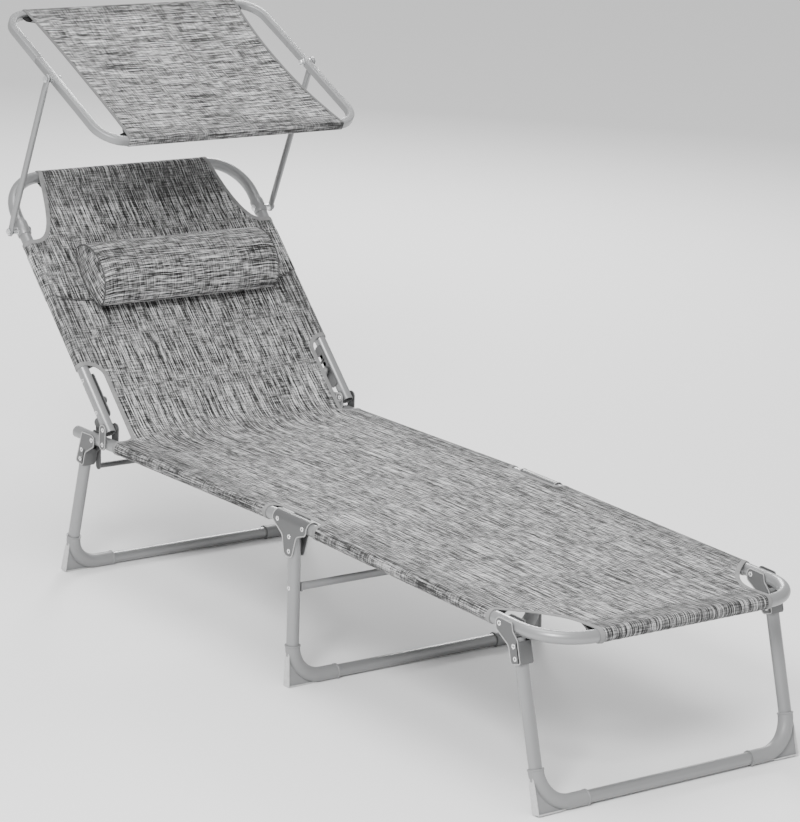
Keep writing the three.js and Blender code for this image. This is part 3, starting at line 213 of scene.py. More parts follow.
def painted_rim_highlight():
    """Rims painted lighter as a painted highlight: the rim attribute, broken up by small noise."""
    group, w, entry, leave = shader_group(
        "painted rim highlight",
        [("Vector", "NodeSocketVector", None), ("Amount", "NodeSocketFloat", 0.6)],
        [("Mask", "NodeSocketFloat")],
    )
    rim = w.add("ShaderNodeAttribute", attribute_name="rim").outputs["Fac"]
    patches = w.spread(w.noise(entry["Vector"], 160.0, 3.0), 0.55, 1.25)
    mask = w.math("MULTIPLY", w.math("MULTIPLY", rim, patches), entry["Amount"])
    mask.node.use_clamp = True
    w.join(mask, leave.inputs["Mask"])
    return group


def woven_threads():
    """Small plain weave: a height and a shade that follow crossing threads."""
    group, w, entry, leave = shader_group(
        "woven threads",
        [("Vector", "NodeSocketVector", None), ("Thread Size", "NodeSocketFloat", 0.0013)],
        [("Height", "NodeSocketFloat"), ("Cross", "NodeSocketFloat")],
    )
    parts = w.add("ShaderNodeSeparateXYZ", {0: entry["Vector"]}).outputs
    turns = w.math("DIVIDE", pi, entry["Thread Size"])
    warp = w.math("SINE", w.math("MULTIPLY", parts[0], turns))
    weft = w.math("SINE", w.math("MULTIPLY", parts[1], turns))
    cross = w.math("MULTIPLY", warp, weft)
    height = w.math("ADD", w.math("ABSOLUTE", warp), w.math("MULTIPLY", w.math("ABSOLUTE", weft), 0.8))
    w.join(height, leave.inputs["Height"])
    w.join(cross, leave.inputs["Cross"])
    return group


GRAIN = coat_grain()
RIM_HIGHLIGHT = painted_rim_highlight()
THREADS = woven_threads()


def material(name, roughness, metallic=0.0, specular=0.5):
    """A material with one shader, whose colour and relief are joined on afterwards."""
    made = bpy.data.materials.new(name)
    made.use_nodes = True
    made.node_tree.nodes.clear()
    w = Wiring(made.node_tree)
    values = {"Roughness": roughness, "Metallic": metallic, "Specular IOR Level": specular}
    shader = w.add("ShaderNodeBsdfPrincipled", values)
    w.add("ShaderNodeOutputMaterial", {"Surface": shader.outputs[0]})
    return made, w, shader


def placed_group(w, group, values):
    """The outputs of a shared group placed in one material."""
    return w.add("ShaderNodeGroup", values, node_tree=group).outputs


def coated(name, shade, highlight_shade, roughness, metallic, grain=0.0011, bump=0.12, highlight_amount=0.8):
    """Powder coat, plating or plastic: grain over the surface, and rims painted lighter as a painted
    highlight.
    """
    made, w, shader = material(name, roughness, metallic)
    place = w.add("ShaderNodeTexCoord").outputs["Object"]
    coat = placed_group(w, GRAIN, {"Vector": place, "Grain Size": grain})
    lit_rims = placed_group(w, RIM_HIGHLIGHT, {"Vector": place, "Amount": highlight_amount})
    cool = (shade, shade * 1.01, shade * 1.02, 1)
    # The rims take a lighter colour here as a painted highlight.
    base = w.mix(lit_rims["Mask"], cool, (highlight_shade, highlight_shade, highlight_shade, 1))
    tinted = w.add("ShaderNodeVectorMath", {0: base, 1: coat["Shade"]}, operation="MULTIPLY").outputs[0]
    w.join(tinted, shader.inputs["Base Color"])
    rough = w.math("ADD", coat["Gloss"], roughness)
    w.join(rough, shader.inputs["Roughness"])
    w.relief(shader, coat["Height"], bump)
    return made


def melange_cloth():
    """Grey sling cloth of mixed yarns: dark and light streaks along V, weaker ones along U."""
    made, w, shader = material("grey melange sling cloth", 0.8, 0.0, 0.25)
    place = w.add("ShaderNodeUVMap", uv_map="UVMap").outputs[0]
    long_warp = w.noise(w.stretched(place, (0.0021, 0.11, 1)), 1.0, 1.0, 0.5)
    warp = w.noise(w.stretched(place, (0.0018, 0.022, 1)), 1.0, 1.0, 0.5)
    weft = w.noise(w.stretched(place, (0.03, 0.0018, 1)), 1.0, 1.0, 0.5)
    cloud = w.noise(place, 16.0, 2.0, 0.5)
    threads = placed_group(w, THREADS, {"Vector": place})
    streaks = w.math("ADD", w.math("MULTIPLY", long_warp, 0.6), w.math("MULTIPLY", warp, 0.5))
    woven = w.math("ADD", streaks, w.math("MULTIPLY", weft, 0.34))
    clouded = w.math("ADD", woven, w.math("MULTIPLY", cloud, 0.05))
    shade = w.math("ADD", clouded, w.math("MULTIPLY", threads["Cross"], 0.045))
    stops = [(0.61, 0.012), (0.685, 0.045), (0.75, 0.15), (0.82, 0.36), (0.91, 0.7)]
    colour = w.ramp(shade, stops)
    hem = w.add("ShaderNodeAttribute", attribute_name="hem").outputs["Fac"]
    darker = w.mix(w.math("MULTIPLY", hem, 0.35), colour, (0.04, 0.04, 0.04, 1))
    w.join(darker, shader.inputs["Base Color"])
    w.relief(shader, threads["Height"], 0.5, 0.0004)
    return made


def tape(name, shade, thread=0.0009):
    """Narrow woven goods of one shade: tape, webbing, thread and welt."""
    made, w, shader = material(name, 0.8, 0.0, 0.25)
    place = w.add("ShaderNodeTexCoord").outputs["Object"]
    threads = placed_group(w, THREADS, {"Vector": place, "Thread Size": thread})
    cloud = w.noise(place, 90.0, 3.0)
    level = w.spread(cloud, shade * 0.75, shade * 1.25)
    w.join(level, shader.inputs["Base Color"])
    w.relief(shader, threads["Height"], 0.35)
    return made


# Each finish's second shade is a painted highlight on the points that carry the rim attribute: beads,
# flanges and plate edges.
FRAME_COAT = coated("silver grey powder coat", 0.26, 0.5, 0.35, 0.4)
BRACKET_COAT = coated("mid grey bracket coat", 0.1, 0.5, 0.42, 0.3)
STAY_COAT = coated("dark grey stay coat", 0.09, 0.35, 0.45, 0.3)
FOOT_PLASTIC = coated("moulded grey foot plastic", 0.22, 0.6, 0.45, 0.0, 0.0018, 0.2)
BRIGHT_STEEL = coated("zinc plated steel", 0.7, 0.8, 0.24, 0.9, 0.0009, 0.06)
# Rivet steel: its dark base is painted shade in each rivet's hollow middle, and its bright rim shade is a
# painted highlight on the rolled ring.
RIVET_STEEL = coated("rolled rivet steel", 0.1, 0.85, 0.26, 0.8, 0.0009, 0.05, 1.0)
SLING_CLOTH = melange_cloth()
BINDING = tape("grey binding tape", 0.22)
BLACK_WEB = tape("black webbing", 0.012)
THREAD = tape("light sewing thread", 0.4)
DARK_THREAD = tape("dark sewing thread", 0.03)
DARK_WELT = tape("dark grey welt", 0.07)


# Shapes are (points, faces), points in millimetres in a section
# Points within a weld's reach are joined, and an edge shorter than a sliver goes
METAL_WELD = 0.02
CLOTH_WELD = 0.01
SLIVER = 0.001
# A stamped plate's rim: its bead's height, where that is low, and where its painted highlight starts beyond
# the face
LOW_BEAD = 0.2
RIM_START = 0.2
# How much further in a plate lies that laps another in the same piece
LAP = 0.05
SOFT_EDGE = 0.5


def merged(shapes):
    points, faces = [], []
    for more_points, more_faces in shapes:
        base = len(points)
        points += more_points
        faces += [tuple(base + i for i in face) for face in more_faces]
    return points, faces


def grid_faces(rows, columns, ring_rows=False, ring_columns=False):
    """Quads between rows of points, joined round where the rows or the columns are rings."""
    faces = []
    for j in range(rows if ring_rows else rows - 1):
        here = j * columns
        below = (j + 1) % rows * columns
        for i in range(columns if ring_columns else columns - 1):
            over = (i + 1) % columns
            faces.append((here + i, here + over, below + over, below + i))
    return faces


def loft(rings, ring_rows=False):
    """A closed shape through rings of points, with flat ends or with its last ring joined to its first."""
    count = len(rings[0])
    points = [point for ring in rings for point in ring]
    faces = grid_faces(len(rings), count, ring_rows, True)
    if not ring_rows:
        faces.append(tuple(range(count)))
        faces.append(tuple(range((len(rings) - 1) * count, len(rings) * count)))
    return points, faces


def circle(radius, count=24):
    return [(radius * cos(2 * pi * i / count), radius * sin(2 * pi * i / count)) for i in range(count)]


def corner(x, y, z, radius=0.0):
    return Vector((x, y, z)), radius


def u_bend(half, mouth, bar, bend):
    """Corners of a U from one mouth across a bar to the other mouth, each place as (y, z)."""
    return [
        corner(-half, *mouth),
        corner(-half, *bar, bend),
        corner(half, *bar, bend),
        corner(half, *mouth),
    ]


def bent_line(corners, steps=12):
    """Points and directions along straight runs joined by round bends."""
    first, second = corners[0][0], corners[1][0]
    stations = [(first.copy(), (second - first).normalized())]
    for i in range(1, len(corners) - 1):
        at, radius = corners[i]
        before = (at - corners[i - 1][0]).normalized()
        after = (corners[i + 1][0] - at).normalized()
        turn = before.angle(after)
        start = at - before * radius * tan(turn / 2)
        inward = (after - before * after.dot(before)).normalized()
        for k in range(steps + 1):
            angle = turn * k / steps
            point = start + before * radius * sin(angle) + inward * radius * (1 - cos(angle))
            stations.append((point, before * cos(angle) + inward * sin(angle)))
    last, previous = corners[-1][0], corners[-2][0]
    stations.append((last.copy(), (last - previous).normalized()))
    return stations


def ring_at(point, direction, across, outline, scale=1.0):
    side = direction.cross(across)
    return [point + side * a * scale + across * b * scale for a, b in outline]


def round_end(stations, radius, at_start, steps=4):
    """Stations that close a tube with a half ball, with the share of the radius at each."""
    point, direction = stations[0] if at_start else stations[-1]
    outward = -direction if at_start else direction
    ends = []
    for k in range(1, steps + 1):
        turn = pi / 2 * k / steps
        ends.append((point + outward * radius * sin(turn), direction, max(cos(turn), 0.02)))
    return ends[::-1] if at_start else ends


def hollow(stations, across, outlines):
    """A hollow tube along stations, open at both ends, with an outer and an inner outline at each."""
    outer, inner = [], []
    for (point, direction), (outside, inside) in zip(stations, outlines):
        outer.append(ring_at(point, direction, across, outside))
        inner.append(ring_at(point, direction, across, inside))
    return loft(outer + inner[::-1], ring_rows=True)


def turned(profile, x, y, z, axis="X", count=24, sign=1):
    """A shape turned about X or Y from a profile of (radius, place along the axis)."""
    rings = []
    for radius, along in profile:
        ring = []
        for a, b in circle(max(radius, 0.001), count):
            if axis == "X":
                ring.append(Vector((x + sign * along, y + a, z + b)))
            else:
                ring.append(Vector((x + a, y + sign * along, z + b)))
        rings.append(ring)
    return loft(rings)


def rounded(corners, steps=6):
    """A closed outline through corners (y, z, radius), each rounded to its radius."""
    outline = []
    count = len(corners)
    for i, (y, z, radius) in enumerate(corners):
        at = Vector((y, z))
        before = (Vector(corners[i - 1][:2]) - at).normalized()
        after = (Vector(corners[(i + 1) % count][:2]) - at).normalized()
        half = before.angle(after) / 2
        centre = at + (before + after).normalized() * radius / sin(half)
        start = at + before * radius / tan(half) - centre
        end = at + after * radius / tan(half) - centre
        first = atan2(start.y, start.x)
        sweep = (atan2(end.y, end.x) - first + pi) % (2 * pi) - pi
        for k in range(steps + 1):
            turn = first + sweep * k / steps
            outline.append((centre.x + radius * cos(turn), centre.y + radius * sin(turn)))
    return outline


def strap(first, second, radius, steps=10):
    """An outline round two centres (y, z), with a round end about each."""
    away = Vector(second) - Vector(first)
    heading = atan2(away.y, away.x)
    outline = []
    for (y, z), start in ((first, heading + pi / 2), (second, heading - pi / 2)):
        for k in range(steps + 1):
            turn = start + k / steps * pi
            outline.append((y + radius * cos(turn), z + radius * sin(turn)))
    return outline


def inset(outline, by):
    """An outline moved inwards by a distance."""
    count = len(outline)
    area = sum(
        outline[i - 1][0] * outline[i][1] - outline[i][0] * outline[i - 1][1] for i in range(count)
    )
    sense = 1 if area > 0 else -1
    moved = []
    for i in range(count):
        before = Vector(outline[i]) - Vector(outline[i - 1])
        after = Vector(outline[(i + 1) % count]) - Vector(outline[i])
        if before.length < 1e-6:
            before = after
        if after.length < 1e-6:
            after = before
        way = before.normalized() + after.normalized()
        inward = Vector((-way.y, way.x)).normalized() * sense
        spread = max(0.6, (way / 2).length)
        moved.append((outline[i][0] + inward.x * by / spread, outline[i][1] + inward.y * by / spread))
    return moved


def stamped(outline, sign, near, far, faces_out=True, bead=0.8):
    """A stamped plate at x from near to far on one side, with a raised bead along its rim."""
    back, front = (near, far) if faces_out else (far, near)
    way = 1 if faces_out else -1
    profile = [
        (back, 0.5),
        (back + way * 0.5, 0.0),
        (front - way * 0.2, 0.0),
        (front + way * bead * 0.8, 0.5),
        (front + way * bead, 1.1),
        (front + way * bead * 0.7, 1.8),
        (front, 2.5),
    ]
    rings = []
    for x, by in profile:
        rings.append([Vector((sign * x, y, z)) for y, z in inset(outline, by)])
    return loft(rings)


def linked(name, data):
    """A new object that carries the data, in the scene's collection."""
    made = bpy.data.objects.new(name, data)
    bpy.context.scene.collection.objects.link(made)
    return made


def welded(mesh, reach, closed=True):
    """Joins points that lie within reach, and turns the faces of a closed shape outwards."""
    joined = bmesh.new()
    joined.from_mesh(mesh)
    bmesh.ops.remove_doubles(joined, verts=joined.verts, dist=reach * MM)
    if closed:
        bmesh.ops.dissolve_degenerate(joined, edges=joined.edges, dist=SLIVER * MM)
        bmesh.ops.recalc_face_normals(joined, faces=joined.faces)
    joined.to_mesh(mesh)
    joined.free()


def finished(name, mesh, finish, sharp):
    """An object with smooth faces, whose edges are sharp past an angle."""
    mesh.shade_smooth()
    mesh.set_sharp_from_angle(angle=radians(sharp))
    mesh.materials.append(finish)
    return linked(name, mesh)


def make(name, shape, place, finish, sharp=38.0, rim=None):
    """A piece whose points are brought into the frame of the whole."""
    mesh = bpy.data.meshes.new(name)
    points, faces = shape
    mesh.from_pydata([place @ Vector(point) for point in points], [], faces)
    if rim is not None:
        layer = mesh.attributes.new("rim", "FLOAT", "POINT")
        layer.data.foreach_set("value", [rim(Vector(point)) for point in points])
    welded(mesh, METAL_WELD)
    return finished(name, mesh, finish, sharp)


def all_rim(_):
    """The rim attribute of a bead or a flange, which is painted light as a highlight all over."""
    return 1.0


def rim_of(sign, face, way=1):
    """The rim attribute of a stamped plate: the raised bead beyond its face, which is painted light as a
    highlight.
    """
    return lambda point: 1.0 if way * (sign * point.x - face) > RIM_START else 0.0


def fasten(piece, body, *nodes):
    """Gives a piece to a body and hides the solids that it stands in for."""
    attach(piece, body)
    if nodes:
        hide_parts(*nodes)
    return piece


def soften(piece):
    bevel = piece.modifiers.new("rounded edges", "BEVEL")
    bevel.width = SOFT_EDGE * MM
    bevel.segments = 2
    bevel.limit_method = "ANGLE"
    bevel.angle_limit = radians(40)
    return piece


ACROSS = Vector((1, 0, 0))
ALONG = Vector((0, 1, 0))
UP = Vector((0, 0, 1))


# Rivets: every body keeps a list of (point, direction, radius) for its heads
RIVET = 4.4
SMALL_RIVET = 4.2
PIVOT_RIVET = 4.8
STAY_RIVET = 4.0
rivet_heads = {}


def rivet_head(body, place, x, y, z, radius=RIVET, inward=False):
    """A head that faces away from the middle, or towards it."""
    away = 1 if x > 0 else -1
    facing = (place.to_3x3() @ Vector((-away if inward else away, 0, 0))).normalized()
    rivet_heads.setdefault(body, []).append((place @ Vector((x, y, z)), facing, radius))


def rivet_pair(body, place, sign, y, z, radius=RIVET):
    """The two heads of a rivet through a tube and its ears, on the outer and the inner side."""
    rivet_head(body, place, sign * OUTER_FACE, y, z, radius)
    rivet_head(body, place, sign * INNER_FACE, y, z, radius, inward=True)


def geometry_tree(name, sizes):
    """A tree with named inputs, its wiring, its entry's sockets and the identifiers of the inputs."""
    tree = bpy.data.node_groups.new(name, "GeometryNodeTree")
    tree.interface.new_socket("Geometry", in_out="INPUT", socket_type="NodeSocketGeometry")
    identifiers = {}
    for label, kind, value in sizes:
        socket = tree.interface.new_socket(label, in_out="INPUT", socket_type=kind)
        if value is not None:
            socket.default_value = value
        identifiers[label] = socket.identifier
    tree.interface.new_socket("Geometry", in_out="OUTPUT", socket_type="NodeSocketGeometry")
    wiring = Wiring(tree)
    return tree, wiring, wiring.add("NodeGroupInput").outputs, identifiers


def close_tree(w, shape, finish):
    """Copies the shape onto its points as a plain mesh of one finish."""
    instances = w.add("GeometryNodeInstanceOnPoints", shape).outputs[0]
    real = w.add("GeometryNodeRealizeInstances", {0: instances}).outputs[0]
    smooth = w.add("GeometryNodeSetShadeSmooth", {0: real}).outputs[0]
    done = w.add("GeometryNodeSetMaterial", {"Geometry": smooth, "Material": finish}).outputs[0]
    w.add("NodeGroupOutput", {0: done})


def marked_rim(w, geometry, share):
    """Geometry with the rim attribute stored on its points, which sets where the painted highlight goes."""
    values = {"Geometry": geometry, "Name": "rim", "Value": share}
    node = w.add("GeometryNodeStoreNamedAttribute", values, data_type="FLOAT", domain="POINT")
    return node.outputs[0]


def stored(w, name, kind):
    """An attribute that the points bring along."""
    return w.add("GeometryNodeInputNamedAttribute", {"Name": name}, data_type=kind).outputs[0]


def rivet_tree():
    """A tubular rivet's head on each point: a rolled ring, painted light as a highlight, round a small sunk
    disc painted dark as the shade in the rivet's hollow.
    """
    tree, w, entry, sockets = geometry_tree(
        "rivet heads",
        [("Head Rise", "NodeSocketFloat", 0.45), ("Finish", "NodeSocketMaterial", None)],
    )
    around, ring_radius, roll_radius = 18, 0.66, 0.34
    circle_kind = "GeometryNodeCurvePrimitiveCircle"
    ring = w.add(circle_kind, {"Resolution": around, "Radius": ring_radius}).outputs[0]
    roll = w.add(circle_kind, {"Resolution": 8, "Radius": roll_radius}).outputs[0]
    # The ring is marked to take the painted highlight. The disc is left unmarked, so it shows the dark
    # painted shade.
    rolled = marked_rim(w, w.add("GeometryNodeCurveToMesh", {0: ring, 1: roll}).outputs[0], 1.0)
    sunk = {"Vertices": around, "Radius": 0.6, "Depth": 0.24}
    painted_shade_disc = marked_rim(w, w.add("GeometryNodeMeshCylinder", sunk).outputs[0], 0.0)
    both = w.add("GeometryNodeJoinGeometry", {0: rolled}).outputs[0]
    w.join(painted_shade_disc, both.node.inputs[0])
    flattened = w.add("ShaderNodeCombineXYZ", {0: 1.0, 1: 1.0, 2: entry["Head Rise"]}).outputs[0]
    head = w.add("GeometryNodeTransform", {0: both, "Scale": flattened}).outputs[0]
    facing = stored(w, "facing", "FLOAT_VECTOR")
    size = stored(w, "size", "FLOAT")
    turn = w.add("FunctionNodeAlignRotationToVector", {"Vector": facing}, axis="Z").outputs[0]
    shape = {"Points": entry["Geometry"], "Instance": head, "Rotation": turn, "Scale": size}
    close_tree(w, shape, entry["Finish"])
    return tree, sockets


def stitch_tree():
    """Stitches: small capsules at an even pitch along edges."""
    tree, w, entry, sockets = geometry_tree(
        "stitch row",
        [
            ("Pitch", "NodeSocketFloat", 5 * MM),
            ("Stitch Length", "NodeSocketFloat", 3.4 * MM),
            ("Thread Radius", "NodeSocketFloat", 0.38 * MM),
            ("Finish", "NodeSocketMaterial", None),
        ],
    )
    curve = w.add("GeometryNodeMeshToCurve", {0: entry["Geometry"]}).outputs[0]
    values = {"Curve": curve, "Length": entry["Pitch"]}
    even = w.add("GeometryNodeResampleCurve", values, mode="LENGTH").outputs[0]
    bead = w.add("GeometryNodeMeshIcoSphere", {"Radius": 1.0, "Subdivisions": 1}).outputs[0]
    half = w.math("MULTIPLY", entry["Stitch Length"], 0.5)
    thin = entry["Thread Radius"]
    scale = w.add("ShaderNodeCombineXYZ", {0: thin, 1: thin, 2: half}).outputs[0]
    tangent = w.add("GeometryNodeInputTangent").outputs[0]
    turn = w.add("FunctionNodeAlignRotationToVector", {"Vector": tangent}, axis="Z").outputs[0]
    shape = {"Points": even, "Instance": bead, "Rotation": turn, "Scale": scale}
    close_tree(w, shape, entry["Finish"])
    return tree, sockets


def grown(name, mesh, tree, settings, finish):
    """The plain mesh that a tree grows on a mesh of points or edges."""
    made = linked(name, mesh)
    growth = made.modifiers.new("growth", "NODES")
    growth.node_group = tree
    for identifier, value in settings.items():
        growth[identifier] = value
    bpy.context.view_layer.update()
    depsgraph = bpy.context.evaluated_depsgraph_get()
    result = bpy.data.meshes.new_from_object(made.evaluated_get(depsgraph))
    made.modifiers.remove(growth)
    made.data = result
    result.name = name
    result.materials.clear()
    result.materials.append(finish)
    return made


RIVETS, RIVET_SOCKETS = rivet_tree()
STITCHES, STITCH_SOCKETS = stitch_tree()


def grow_rivets(body, heads):
    """All rivet heads of one body, grown on their points."""
    mesh = bpy.data.meshes.new(f"{body}_rivet_points")
    mesh.from_pydata([point for point, _, _ in heads], [], [])
    facing = mesh.attributes.new("facing", "FLOAT_VECTOR", "POINT")
    facing.data.foreach_set("vector", [part for _, way, _ in heads for part in way])
    size = mesh.attributes.new("size", "FLOAT", "POINT")
    size.data.foreach_set("value", [radius * MM for _, _, radius in heads])
    settings = {RIVET_SOCKETS["Finish"]: RIVET_STEEL}
    return grown(f"{body}_rivet_heads", mesh, RIVETS, settings, RIVET_STEEL)


def stitch_rows(name, rows, finish=THREAD, pitch=5.0):
    """One mesh of stitches along rows of points in metres."""
    points, edges = [], []
    for row in rows:
        base = len(points)
        points += row
        edges += [(base + i, base + i + 1) for i in range(len(row) - 1)]
    mesh = bpy.data.meshes.new(f"{name}_line")
    mesh.from_pydata(points, edges, [])
    settings = {STITCH_SOCKETS["Finish"]: finish, STITCH_SOCKETS["Pitch"]: pitch * MM}
    return grown(name, mesh, STITCHES, settings, finish)


# Seat rails, their caps and the hinge plates
RAIL_COUNT = 32
RAIL_EDGE = 0.4
PLUG_DEPTH = 12
BALL_STEPS = 5


def seat_rails():
    """The rails, each with a ball at its front end and a plug in its open rear end."""
    bore = TUBE - WALL
    bottom = SEAT_LENGTH - PLUG_DEPTH - 2
    turns = [pi / 2 * k / BALL_STEPS for k in range(BALL_STEPS + 1)]
    profile = [(TUBE * sin(turn), -TUBE * cos(turn)) for turn in turns]
    profile += [(TUBE, SEAT_LENGTH - RAIL_EDGE), (TUBE - RAIL_EDGE, SEAT_LENGTH)]
    profile += [(bore, SEAT_LENGTH), (bore, bottom), (0, bottom)]
    plug = [(0, -PLUG_DEPTH), (TUBE * 0.86, -PLUG_DEPTH), (TUBE * 0.86, 0.3), (TUBE - 0.3, 0.35)]
    plug += [(TUBE, 0.9), (TUBE, 1.6), (TUBE - 0.7, 2.6), (TUBE - 2.4, 3.0), (0, 3.0)]
    for word, sign in SIDES:
        x = sign * RAIL
        rail = make(f"seat_tube_{word}", turned(profile, x, 0, 0, "Y", RAIL_COUNT), SEAT, FRAME_COAT)
        fasten(rail, "seat_section", f"seat_rail_{word}")
        shape = turned(plug, x, SEAT_LENGTH, 0, "Y", RAIL_COUNT)
        cap = make(f"rail_plug_{word}", shape, SEAT, FOOT_PLASTIC)
        fasten(cap, "seat_section", f"rail_end_cap_{word}")


HINGE_STRAP_HALF = 10.5
STAY_LUG_HALF = 8
WASHER = 7
HEAD_CLEAR = 0.1
STAY_HEAD_REACH = 3.8


def hinge_plates():
    """Straps over the rail and the backrest's pivot, the inner one with washers and a lug for the stay."""
    outline = strap((HINGE, 0), (HINGE, HINGE_RISE), HINGE_STRAP_HALF)
    lug = strap((HINGE, HINGE_RISE), (STAY_PIVOT, STAY_RISE), STAY_LUG_HALF)
    far = INNER_FACE - GAP
    near = far - PLATE
    washer = [(0, 0), (WASHER - 0.4, 0), (WASHER, 0.3), (WASHER, PLATE + 0.2), (0, PLATE + 0.2)]
    for word, sign in SIDES:
        shape = stamped(outline, sign, OUTER_EAR, OUTER_FACE)
        outer = make(f"hinge_strap_outer_{word}", shape, SEAT, BRACKET_COAT, rim=rim_of(sign, OUTER_FACE))
        fasten(outer, "seat_section", f"hinge_plate_outer_{word}")
        pieces = [
            stamped(outline, sign, near, far, False),
            stamped(lug, sign, near + LAP, far - LAP, False),
        ]
        for z in (0, HINGE_RISE):
            pieces.append(turned(washer, sign * far, HINGE, z, "X", 20, sign))
        shape = merged(pieces)
        inner = make(f"hinge_strap_inner_{word}", shape, SEAT, BRACKET_COAT, rim=rim_of(sign, near, -1))
        fasten(inner, "seat_section", f"hinge_plate_inner_{word}")
        for z in (0, HINGE_RISE):
            rivet_head("seat_section", SEAT, sign * (OUTER_FACE + HEAD_CLEAR), HINGE, z)
            rivet_head("seat_section", SEAT, sign * (near - HEAD_CLEAR), HINGE, z, inward=True)
        x = sign * (near - STAY_HEAD_REACH)
        rivet_head("seat_section", SEAT, x, STAY_PIVOT, STAY_RISE, STAY_RIVET, inward=True)


# Saddles: stamped arches over both rail ends, whose ears hold the leg
SADDLE_EDGE = [
    (-83, -3, 3),
    (-80, -9.8, 6),
    (-56, -18, 12),
    (-46.5, -58, 9.5),
    (-24.5, -58, 9.5),
    (-17, -24, 14),
    (4, -9.8, 6),
    (14, -3, 3),
]


SADDLE_LEG_RIVETS = (0, 25.5)
ARCH_STEPS = 14


def saddle_lower_edge():
    """Places (y, z) along an ear's lower edge, with no two nearer than a quarter of a millimetre."""
    start, end, rise = SADDLE_EDGE[0][0], SADDLE_EDGE[-1][0], 20
    lower = rounded([(start, rise, 1)] + SADDLE_EDGE + [(end, rise, 1)], 5)
    kept = sorted({(round(y, 3), round(z, 3)) for y, z in lower if z < -2.9})
    edge = []
    for y, z in kept:
        if not edge or y - edge[-1][0] > 0.25:
            edge.append((y, z))
    return edge


def saddles():
    """Each saddle arches over both rail ends, and its lower edge is rolled to a bead."""
    edge = saddle_lower_edge()
    arch = TUBE + GAP
    turns = [pi * k / ARCH_STEPS for k in range(ARCH_STEPS + 1)]
    for word, sign in SIDES:
        x = sign * RAIL
        rows = []
        for reach in (arch + PLATE, arch):
            for y, z in edge:
                outer_ear = [Vector((x + reach, y, z * k / 3)) for k in range(3, 0, -1)]
                over = [Vector((x + reach * cos(turn), y, reach * sin(turn))) for turn in turns]
                inner_ear = [Vector((x - reach, y, z * k / 3)) for k in range(1, 4)]
                rows.append(outer_ear + over + inner_ear)
        columns = len(rows[0])
        count = len(edge)
        inside = count * columns
        points = [point for row in rows for point in row]
        faces = grid_faces(count, columns)
        faces += [tuple(i + inside for i in face) for face in grid_faces(count, columns)]
        for j in range(count - 1):
            for a in (j * columns, j * columns + columns - 1):
                faces.append((a, a + columns, a + columns + inside, a + inside))
        for i in range(columns - 1):
            for a in (i, (count - 1) * columns + i):
                faces.append((a, a + 1, a + 1 + inside, a + inside))
        saddle = make(f"saddle_arch_{word}", (points, faces), MIDDLE, BRACKET_COAT, 42)
        fasten(soften(saddle), "middle_legs", f"saddle_{word}")
        face = arch + PLATE
        ends = (edge[0][0], edge[-1][0])
        beads = []
        for way in (1, -1):
            ear = x + way * face
            line = [Vector((ear, y, z)) for y, z in [(ends[0], 2)] + edge + [(ends[1], 2)]]
            beads.append(cord_along(line, 1.0, Vector((way, 0, 0))))
        for y in ends:
            line = [Vector((x + face * cos(turn), y, face * sin(turn))) for turn in turns]
            beads.append(cord_along(line, 0.9, ALONG))
        rim = make(f"saddle_rim_{word}", merged(beads), MIDDLE, BRACKET_COAT, 60, rim=all_rim)
        fasten(rim, "middle_legs")
        for y in (0, -SADDLE_SPAN):
            rivet_pair("middle_legs", MIDDLE, sign, y, 0)
        for drop in SADDLE_LEG_RIVETS:
            rivet_pair("middle_legs", MIDDLE_PLANE, sign, 0, -drop)


def cord_along(line, radius, across, count=8):
    """A thin round bead along a line of points."""
    rings = []
    for i, point in enumerate(line):
        ahead = line[min(i + 1, len(line) - 1)] - line[max(i - 1, 0)]
        direction = ahead.normalized()
        side = direction.cross(across).normalized()
        other = side.cross(direction)
        rings.append([point + side * a + other * b for a, b in circle(radius, count)])
    return loft(rings)


# Leg frames and feet
# A foot's sleeve reaches up the leg and along its lower run, with a rolled lip at both mouths
FOOT_RADIUS = 13.0
FOOT_UP = LEG_BEND + 2
FOOT_ALONG = LEG_BEND + 34
FOOT_LIP = 2.2
FOOT_LIP_RISE = 0.9
# Height of the lower run's axis over the floor, and how far the foot's corner reaches past that axis
FOOT_STAND = 12.0
FOOT_CORNER = 12.0
WEB_HALF = 3.2
FLANGE_HALF = 8.0
FLANGE_WALL = 1.8


def leg_drop(place, offset):
    """How far down its own plane a leg's lower run lies, so that its feet stand on the floor."""
    height = (place @ Vector((0, offset, 0))).z / MM
    lean = atan2(*reversed((place.to_3x3() @ ALONG).yz))
    return (height - FOOT_STAND) / cos(lean)


def leg_frame(name, place, offset, top, body, node):
    """Bends a leg frame from one tube and gives the drop of its lower run."""
    drop = leg_drop(place, offset)
    stations = bent_line(u_bend(RAIL, (offset, top), (offset, -drop), LEG_BEND))
    outlines = [(circle(TUBE), circle(TUBE - WALL))] * len(stations)
    legs = make(name, hollow(stations, ALONG, outlines), place, FRAME_COAT)
    fasten(legs, body, node)
    return drop


def flat_on_floor(piece):
    for vertex in piece.data.vertices:
        vertex.co.z = max(vertex.co.z, 0.0)
    return piece


def foot_sleeve(sign, offset, drop):
    """The plastic sleeve round a leg's bend, rolled at both mouths."""
    x = sign * RAIL
    corners = [
        corner(x, offset, FOOT_UP - drop),
        corner(x, offset, -drop, LEG_BEND),
        corner(x - sign * FOOT_ALONG, offset, -drop),
    ]
    stations = bent_line(corners, 14)
    (top, down), (inmost, across) = stations[0], stations[-1]
    for after, reach in ((1, FOOT_LIP), (2, FOOT_LIP + 0.8)):
        stations.insert(after, (top + down * reach, down))
        stations.insert(-after, (inmost - across * reach, across))
    bore = circle(TUBE + 0.1)
    outlines = [(circle(FOOT_RADIUS), bore)] * len(stations)
    outlines[:2] = outlines[-2:] = [(circle(FOOT_RADIUS + FOOT_LIP_RISE), bore)] * 2
    return hollow(stations, ALONG, outlines)


